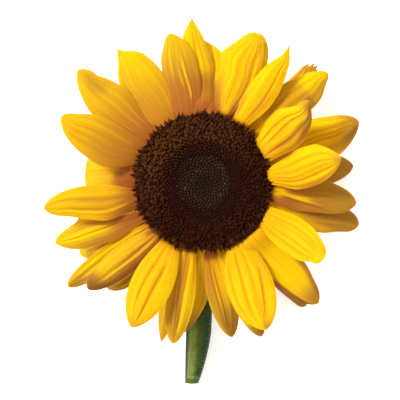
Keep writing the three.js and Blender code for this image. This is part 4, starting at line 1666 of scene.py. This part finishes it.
@dataclass(frozen=True)
class Receptacle:
    """The fleshy green base that carries the petals and the face (mm)."""

    radius: float = 31.5
    top: float = 34.0
    rim_bottom: float = 24.0
    neck_bottom: float = 19.0
    neck_radius: float = 7.2
    shoulder: float = 2.3
    shoulder_at: float = 0.28
    shoulder_spread: float = 0.2
    ribs: int = 21
    rib_depth: float = 0.22
    flush: float = 0.15
    flank_rings: int = 26
    wall_rings: int = 10
    around: int = 120

    def profile(self) -> Array:
        """Runs the outline from the neck, up the flank and the wall and in over the top.

        Returns:
            The radius and height of each ring.
        """
        share = np.linspace(0, 1, self.flank_rings)
        lift = 0.5 * share + 0.5 * share ** 3
        flank = np.stack([self.neck_radius + (self.radius - self.neck_radius) * share,
                          self.neck_bottom + (self.rim_bottom - self.neck_bottom) * lift], -1)
        climb = np.linspace(0, 1, self.wall_rings + 1)[1:]
        bulge = self.shoulder * hump(climb, self.shoulder_at, self.shoulder_spread)
        wall = np.stack([self.radius + bulge, self.rim_bottom + climb * (self.top - self.rim_bottom)], -1)
        neck = [(self.neck_radius * 0.4, self.neck_bottom)]
        lid = [(self.radius * 0.6, self.top), (self.radius * 0.2, self.top)]
        return np.concatenate([neck, flank, wall, lid])

    def draft(self) -> Draft:
        """Turns the base, with low ribs where the bracts run down to the neck.

        Returns:
            The receptacle.
        """
        profile = self.profile()
        radius, height = profile[:, :1], profile[:, 1:]
        angle = spokes(self.around)
        ribs = 0.5 + 0.5 * np.cos(self.ribs * angle)
        low = ease(0.0, 0.3, (radius - self.neck_radius) / self.radius) * (height < self.rim_bottom)
        rings = turned(radius, height + self.rib_depth * (1 - ribs) * low, angle)
        nothing = np.zeros(rings.shape[:2])
        return Draft.ringed(rings, {
            "crest": ribs * low, "flush": nothing + self.flush, "pale": nothing, "dark": nothing})

    def make(self, bench: Bench, finish: bpy.types.Material) -> bpy.types.Mesh:
        """Makes the receptacle and returns its mesh, for its hair."""
        return bench.shape("fleshy_receptacle", self.draft(), finish, Slot.BRACT, ["receptacle"], 40.0)


@dataclass(frozen=True)
class BristleCoat:
    """Pale hairs on some green pieces, made as one piece.

    thickness is the hairs to a square centimetre, lean is how far they lean at random, 0 for not at all,
    and below is the height above which none grow, in millimetres.
    """

    name: str
    slot: Slot
    thickness: float
    lean: float
    below: float = 30.0
    hair: Sprig = Sprig("bristle", ((0.075, -0.15, 0.0), (0.06, 0.35, 0.0), (0.015, 1.0, 0.0)), 3)

    def make(self, bench: Bench, finish: bpy.types.Material, hosts: Sequence[bpy.types.Mesh]) -> None:
        """Grows the hairs.

        Args:
            bench: Where the piece goes.
            finish: The hairs' material.
            hosts: The meshes that they grow on.
        """
        growth = HairHabit().growth()
        hair = self.hair.part()
        drafts = []
        for seed, host in enumerate(hosts, 1):
            grown = growth.grow(self.name, host, Density=self.thickness * 1e4, Below=self.below * MM,
                                Lean=self.lean, Seed=seed, Hair=hair, Material=finish)
            drafts.append(Draft.read(grown, "lot"))
        mesh = Draft.joined(drafts).mesh(self.name, Vector((0, 0, 0)), 60.0)
        bench.lay(self.name, mesh, finish, self.slot)
        bpy.data.objects.remove(hair)


# ------------------------------------------------------------------ face


@dataclass(frozen=True)
class Bare:
    """A stretch of the face's rim where a front petal stands and no floret leans out (degrees, mm)."""

    bearing: float
    reach: float
    inside: float
    edge: float = 1.0

    def off(self, angle: Array) -> Array:
        """How far angles are from its middle, as shares of its reach."""
        return np.abs((np.degrees(angle) - self.bearing + 180) % 360 - 180) / self.reach

    def empties(self, reach: Array, angle: Array) -> Array:
        """Whether each place grows nothing."""
        return (self.off(angle) < 1) * (reach > self.inside + 1.6 * self.off(angle) ** 2)

    def sinks(self, reach: Array, angle: Array) -> Array:
        """How far each place is sunk, 0 to 1."""
        inward = ease(self.inside - self.edge, self.inside + self.edge, reach)
        return inward * np.clip(1.2 - self.off(angle) ** 2, 0, 1)


@dataclass(frozen=True)
class Crop:
    """A belt of the face's spiral that grows one kind of floret, and how it grows (mm)."""

    name: str
    sprig: Sprig
    slot: Slot
    inside: float
    outside: float
    share: float
    stray: float
    splay: float = 0.0
    swell: float = 0.0


@dataclass(frozen=True)
class Face:
    """The disc of florets: open ones in a raised ring, closed ones inside it, buds in the middle (mm).

    Bearings are in degrees. The collar is a profile of rough chaff under the rim, from the rim's foot.
    """

    foot: float = 34.3
    bud_radius: float = 13.0
    crest_radius: float = 26.0
    rim_radius: float = 32.2
    crest: float = 42.0
    bud_height: float = 39.0
    hollow: float = 37.6
    fall: float = 3.2
    solid_rim: float = 33.0
    sunk: float = 0.9
    rounding: float = 2.2
    rounded_drop: float = 2.4
    spacing: float = 0.8
    around: int = 180
    across: int = 60
    pole: float = 0.4
    ragged: float = 0.4
    # The ring's gold is raised as painted light on the side towards this bearing.
    gilt_bearing: float = 122.0
    gilt_belt: tuple[float, float] = (13.0, 24.0)
    gilt_least: float = 0.12
    gilt_gain: float = 0.95
    rim_gilt: float = 0.06
    rim_belt: tuple[float, float] = (17.0, 26.0)
    # Painted shadow darkens the buds' crowns on the side of the hollow towards this bearing.
    shade_bearing: float = 140.0
    bud_belt: tuple[float, float] = (1.5, 6.0)
    chaff_folds: int = 75
    chaff_depth: float = 0.007
    collar: tuple[tuple[float, float], ...] = (
        (-0.65, 0), (-0.5, -3.1), (0.15, -4.9), (0.6, -4.5), (0.1, -2.9), (-0.2, 0), (0, 1.6))
    bare: tuple[Bare, ...] = (
        Bare(31, 8, 29.3), Bare(6, 6, 29.6), Bare(-25, 5, 31.0), Bare(60, 4, 31.0))
    crops: tuple[Crop, ...] = (
        Crop("centre_buds", Sprig("tight_bud", (
            (0.4, -0.5, 0.0), (0.6, 0.15, 0.2), (0.52, 0.6, 0.75), (0.24, 0.84, 1.0)), 6),
            Slot.BUD, 0.0, 12.6, 0.97, 0.15),
        Crop("closed_florets", Sprig("closed_floret", (
            (0.36, -0.7, 0.0), (0.54, 0.2, 0.1), (0.42, 0.8, 0.4), (0.14, 1.3, 1.0))),
            Slot.FLORET, 12.6, 19.0, 1.0, 0.2, 0.3),
        Crop("open_florets", Sprig("open_floret", (
            (0.26, -0.9, 0.0), (0.38, 0.5, 0.0), (0.66, 1.1, 0.6), (0.32, 0.95, 0.3), (0.24, 1.5, 0.2),
            (0.16, 1.8, 0.6)), flare=0.42, arms=0.7),
            Slot.FLORET, 19.0, 32.05, 1.0, 0.22, 1.2, 0.6),
        Crop("pollen_specks", Sprig("pollen_speck", ((0.1, 1.3, 0.0), (0.17, 1.4, 0.0), (0.1, 1.5, 0.0))),
             Slot.FLORET, 10.98, 29.45, 0.07, 0.3),
    )

    def height(self, radius: Array) -> Array:
        """Finds the height of the florets' seat.

        Args:
            radius: Distances from the axis.

        Returns:
            The height at each.
        """
        inner = self.hollow + (self.bud_height - self.hollow) * (radius / self.bud_radius) ** 2
        climb = np.clip((radius - self.bud_radius) / (self.crest_radius - self.bud_radius), 0, 1)
        ring = self.bud_height + (self.crest - self.bud_height) * np.sin(climb * math.pi / 2)
        outer = np.maximum(0, (radius - self.crest_radius) / (self.solid_rim - self.crest_radius))
        top = np.where(radius < self.bud_radius, inner, ring - self.fall * outer ** 2)
        rounded = ease(self.rim_radius - self.rounding, self.rim_radius, radius)
        return top - self.sunk - self.rounded_drop * rounded ** 2

    def profile(self) -> Array:
        """Runs the outline from under the disc, round the collar and over the top to the middle.

        Returns:
            The radius and height of each ring.
        """
        under = [(0.4 * self.rim_radius, self.foot)]
        collar = np.array(self.collar) + (self.rim_radius, self.foot)
        radius = np.linspace(self.rim_radius, self.pole, self.across)
        return np.concatenate([under, collar, np.stack([radius, self.height(radius)], -1)])

    def gilding_and_painted_light(self, reach: Array, angle: Array) -> Array:
        """Finds how gold each place is, with painted light on the ring and painted shadow on the buds.

        Args:
            reach: Its distance from the axis.
            angle: Its bearing, in radians.

        Returns:
            The gold, with painted light and shadow, about 0 to 1.
        """
        # Painted light on top of real gold: the ring is more gold on the side towards the lamp.
        toward = ease(-0.5, 1.0, np.cos(angle - math.radians(self.gilt_bearing)))
        ring = ease(*self.gilt_belt, reach) * (self.gilt_least + self.gilt_gain * toward)
        ring = ring + self.rim_gilt * ease(*self.rim_belt, reach)
        # Painted shadow of the raised ring: the buds are darker on the side towards the lamp.
        away = -np.cos(angle - math.radians(self.shade_bearing)) * ease(0, 9, reach)
        buds = (0.3 + 0.7 * ease(-0.6, 0.7, away)) * ease(*self.bud_belt, reach)
        return np.where(reach < self.bud_radius, 0.05 + 0.95 * buds, ring)

    def seat(self) -> Draft:
        """Turns the dark seat under the florets, sunk where the front petals lean over it.

        Returns:
            The seat, with its gold and painted light and how bare each place is.
        """
        angle = spokes(self.around)
        radius, level = (column[:, None] for column in self.profile().T)
        reach = radius + 0 * angle
        ragged = np.sin(9 * angle + 0.7) + np.sin(23 * angle + 2.1)
        bare = (reach > self.rim_radius - 0.5 + self.ragged * ragged) * 1.0
        dent = 0 * reach
        for gap in self.bare:
            bare = np.maximum(bare, gap.empties(reach, angle))
            dent = np.maximum(dent, gap.sinks(reach, angle))
        height = self.foot + (level - self.foot) * (1 - dent)
        chaff = (level < self.foot + 1) + 0 * reach
        folded = reach * (1 + self.chaff_depth * chaff * np.cos(self.chaff_folds * angle))
        return Draft.ringed(turned(folded, height, angle), {
            "bare": bare, "gilt": np.maximum(self.gilding_and_painted_light(reach, angle), chaff), "lip": chaff,
            "lot": 0.6 * chaff})

    def make(self, bench: Bench, floret: bpy.types.Material, bud: bpy.types.Material,
             grain: bpy.types.Material) -> None:
        """Makes the seat and grows the three kinds of floret and the pollen on it.

        Args:
            bench: Where the pieces go.
            floret: The florets' material.
            bud: The buds' material.
            grain: The pollen's material.
        """
        nodes = ["disc_florets", "disc_buds"]
        seat = bench.shape("floret_seat", self.seat(), floret, Slot.FLORET, nodes, 60.0)
        growth = SpiralHabit().growth()
        for crop, finish in zip(self.crops, (bud, floret, floret, grain)):
            first, last = (int((reach / self.spacing) ** 2) for reach in (crop.inside, crop.outside))
            part = crop.sprig.part()
            mesh = growth.grow(crop.name, seat, First=first, Count=last - first, Spacing=self.spacing * MM,
                               Rim=self.rim_radius * MM, Splay=crop.splay, Swell=crop.swell,
                               Centre=bench.centre, Share=crop.share, Stray=crop.stray * MM, Floret=part,
                               Material=finish)
            bench.lay(crop.name, mesh, finish, crop.slot)
            bpy.data.objects.remove(part)


# ------------------------------------------------------------------ studio


@dataclass(frozen=True)
class Lamp:
    """A soft square lamp that looks at the bloom (degrees, metres, watts)."""

    name: str
    bearing: float
    elevation: float
    distance: float
    size: float
    power: float
    colour: Point

    def make(self, target: Vector) -> None:
        """Hangs the lamp.

        Args:
            target: The point that it looks at, in metres.
        """
        light = bpy.data.lights.new(self.name, "AREA")
        light.size = self.size
        light.energy = self.power
        light.color = self.colour
        lamp = bpy.data.objects.new(self.name, light)
        bearing, elevation = math.radians(self.bearing), math.radians(self.elevation)
        away = Vector((math.cos(bearing) * math.cos(elevation), math.sin(bearing) * math.cos(elevation),
                       math.sin(elevation)))
        lamp.location = target + away * self.distance
        lamp.rotation_euler = away.to_track_quat("Z", "Y").to_euler()
        bpy.context.scene.collection.objects.link(lamp)


@dataclass(frozen=True)
class Studio:
    """A pale floor, a soft lamp, a warm sky and the camera, straight over the bloom (metres)."""

    camera_height: float = 0.75
    focus_height: float = 0.036
    view_width: float = 0.190
    offset: tuple[float, float] = (-0.0014, -0.0086)
    sensor: float = 36.0
    clip: tuple[float, float] = (0.01, 20.0)
    floor_size: float = 8.0
    floor_drop: float = 0.0002
    sky_level: float = 1.1
    sky_colour: Colour = (1.0, 0.86, 0.68, 1.0)
    lamps: tuple[Lamp, ...] = (Lamp("key", 148, 50, 1.1, 0.2, 14.0, (1.0, 0.98, 0.94)),)

    def make(self, centre: Vector, floor: bpy.types.Material) -> None:
        """Sets up the floor, lamps, sky and camera.

        Args:
            centre: Where the bloom's axis meets the floor, in metres.
            floor: The floor's material.
        """
        self.lay_floor(floor)
        for lamp in self.lamps:
            lamp.make(centre + Vector((0, 0, self.focus_height)))
        self.light_sky()
        self.hang_camera(centre)

    def lay_floor(self, finish: bpy.types.Material) -> None:
        """Lays the square floor, as part of the stage.

        Args:
            finish: Its material.
        """
        half = self.floor_size / 2
        corners = [(-half, -half, 0), (half, -half, 0), (half, half, 0), (-half, half, 0)]
        mesh = bpy.data.meshes.new("floor")
        mesh.from_pydata(corners, [], [(0, 1, 2, 3)])
        mesh.materials.append(finish)
        plane = bpy.data.objects.new("floor", mesh)
        plane.location.z = -self.floor_drop
        bpy.context.scene.collection.objects.link(plane)

    def light_sky(self) -> None:
        """Lights the scene evenly from all round."""
        world = bpy.data.worlds.new("studio")
        world.use_nodes = True
        sky = world.node_tree.nodes["Background"]
        sky.inputs["Color"].default_value = self.sky_colour
        sky.inputs["Strength"].default_value = self.sky_level
        bpy.context.scene.world = world

    def hang_camera(self, centre: Vector) -> None:
        """Hangs the camera and sets how the picture is developed.

        Args:
            centre: Where the bloom's axis meets the floor, in metres.
        """
        scene = bpy.context.scene
        lens = bpy.data.cameras.new("camera")
        lens.sensor_width = self.sensor
        lens.lens = self.sensor * (self.camera_height - self.focus_height) / self.view_width
        lens.clip_start, lens.clip_end = self.clip
        camera = bpy.data.objects.new("camera", lens)
        camera.location = (centre.x + self.offset[0], centre.y + self.offset[1], self.camera_height)
        scene.collection.objects.link(camera)
        scene.camera = camera
        scene.view_settings.view_transform = "Standard"
        scene.view_settings.look = "None"


def main() -> None:
    """Dresses the whole bloom and sets up its studio."""
    logging.basicConfig(level=logging.INFO, format="%(name)s: %(message)s", stream=sys.stdout)
    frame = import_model()
    LOG.info("%d solids to dress", len(frame["nodes"]))
    low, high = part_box("receptacle")
    bench = Bench(Vector(((low.x + high.x) / 2, (low.y + high.y) / 2, 0.0)))
    petal, floret, bud = PetalFinish().make(), FloretFinish().make(), BudFinish().make()
    bract = GreenFinish("bract_green", (0.03, 0.07, 0.01, 1.0), (0.075, 0.15, 0.025, 1.0)).make()
    skin = GreenFinish("stem_green", streak=0.3).make()
    hair = LotFinish("bristle_pale", (0.305, 0.3813, 0.1384, 1.0), (0.552, 0.6038, 0.3515, 1.0), 0.45).make()
    grain = LotFinish("pollen_pale", (0.1, 0.05, 0.03, 1.0), (0.2, 0.11, 0.06, 1.0), 0.6).make()
    stem = Stem().make(bench, skin)
    receptacle = Receptacle().make(bench, bract)
    bracts = Bracts().make(bench, bract)
    RayPetals().make(bench, petal)
    Face().make(bench, floret, bud, grain)
    BristleCoat("stem_bristles", Slot.STEM, 55.0, 0.5).make(bench, hair, [stem])
    BristleCoat("base_hairs", Slot.BRACT, 22.0, 0.6).make(bench, hair, [receptacle, *bracts])
    Studio().make(bench.centre, FloorFinish().make())


if __name__ == "__main__":
    main()
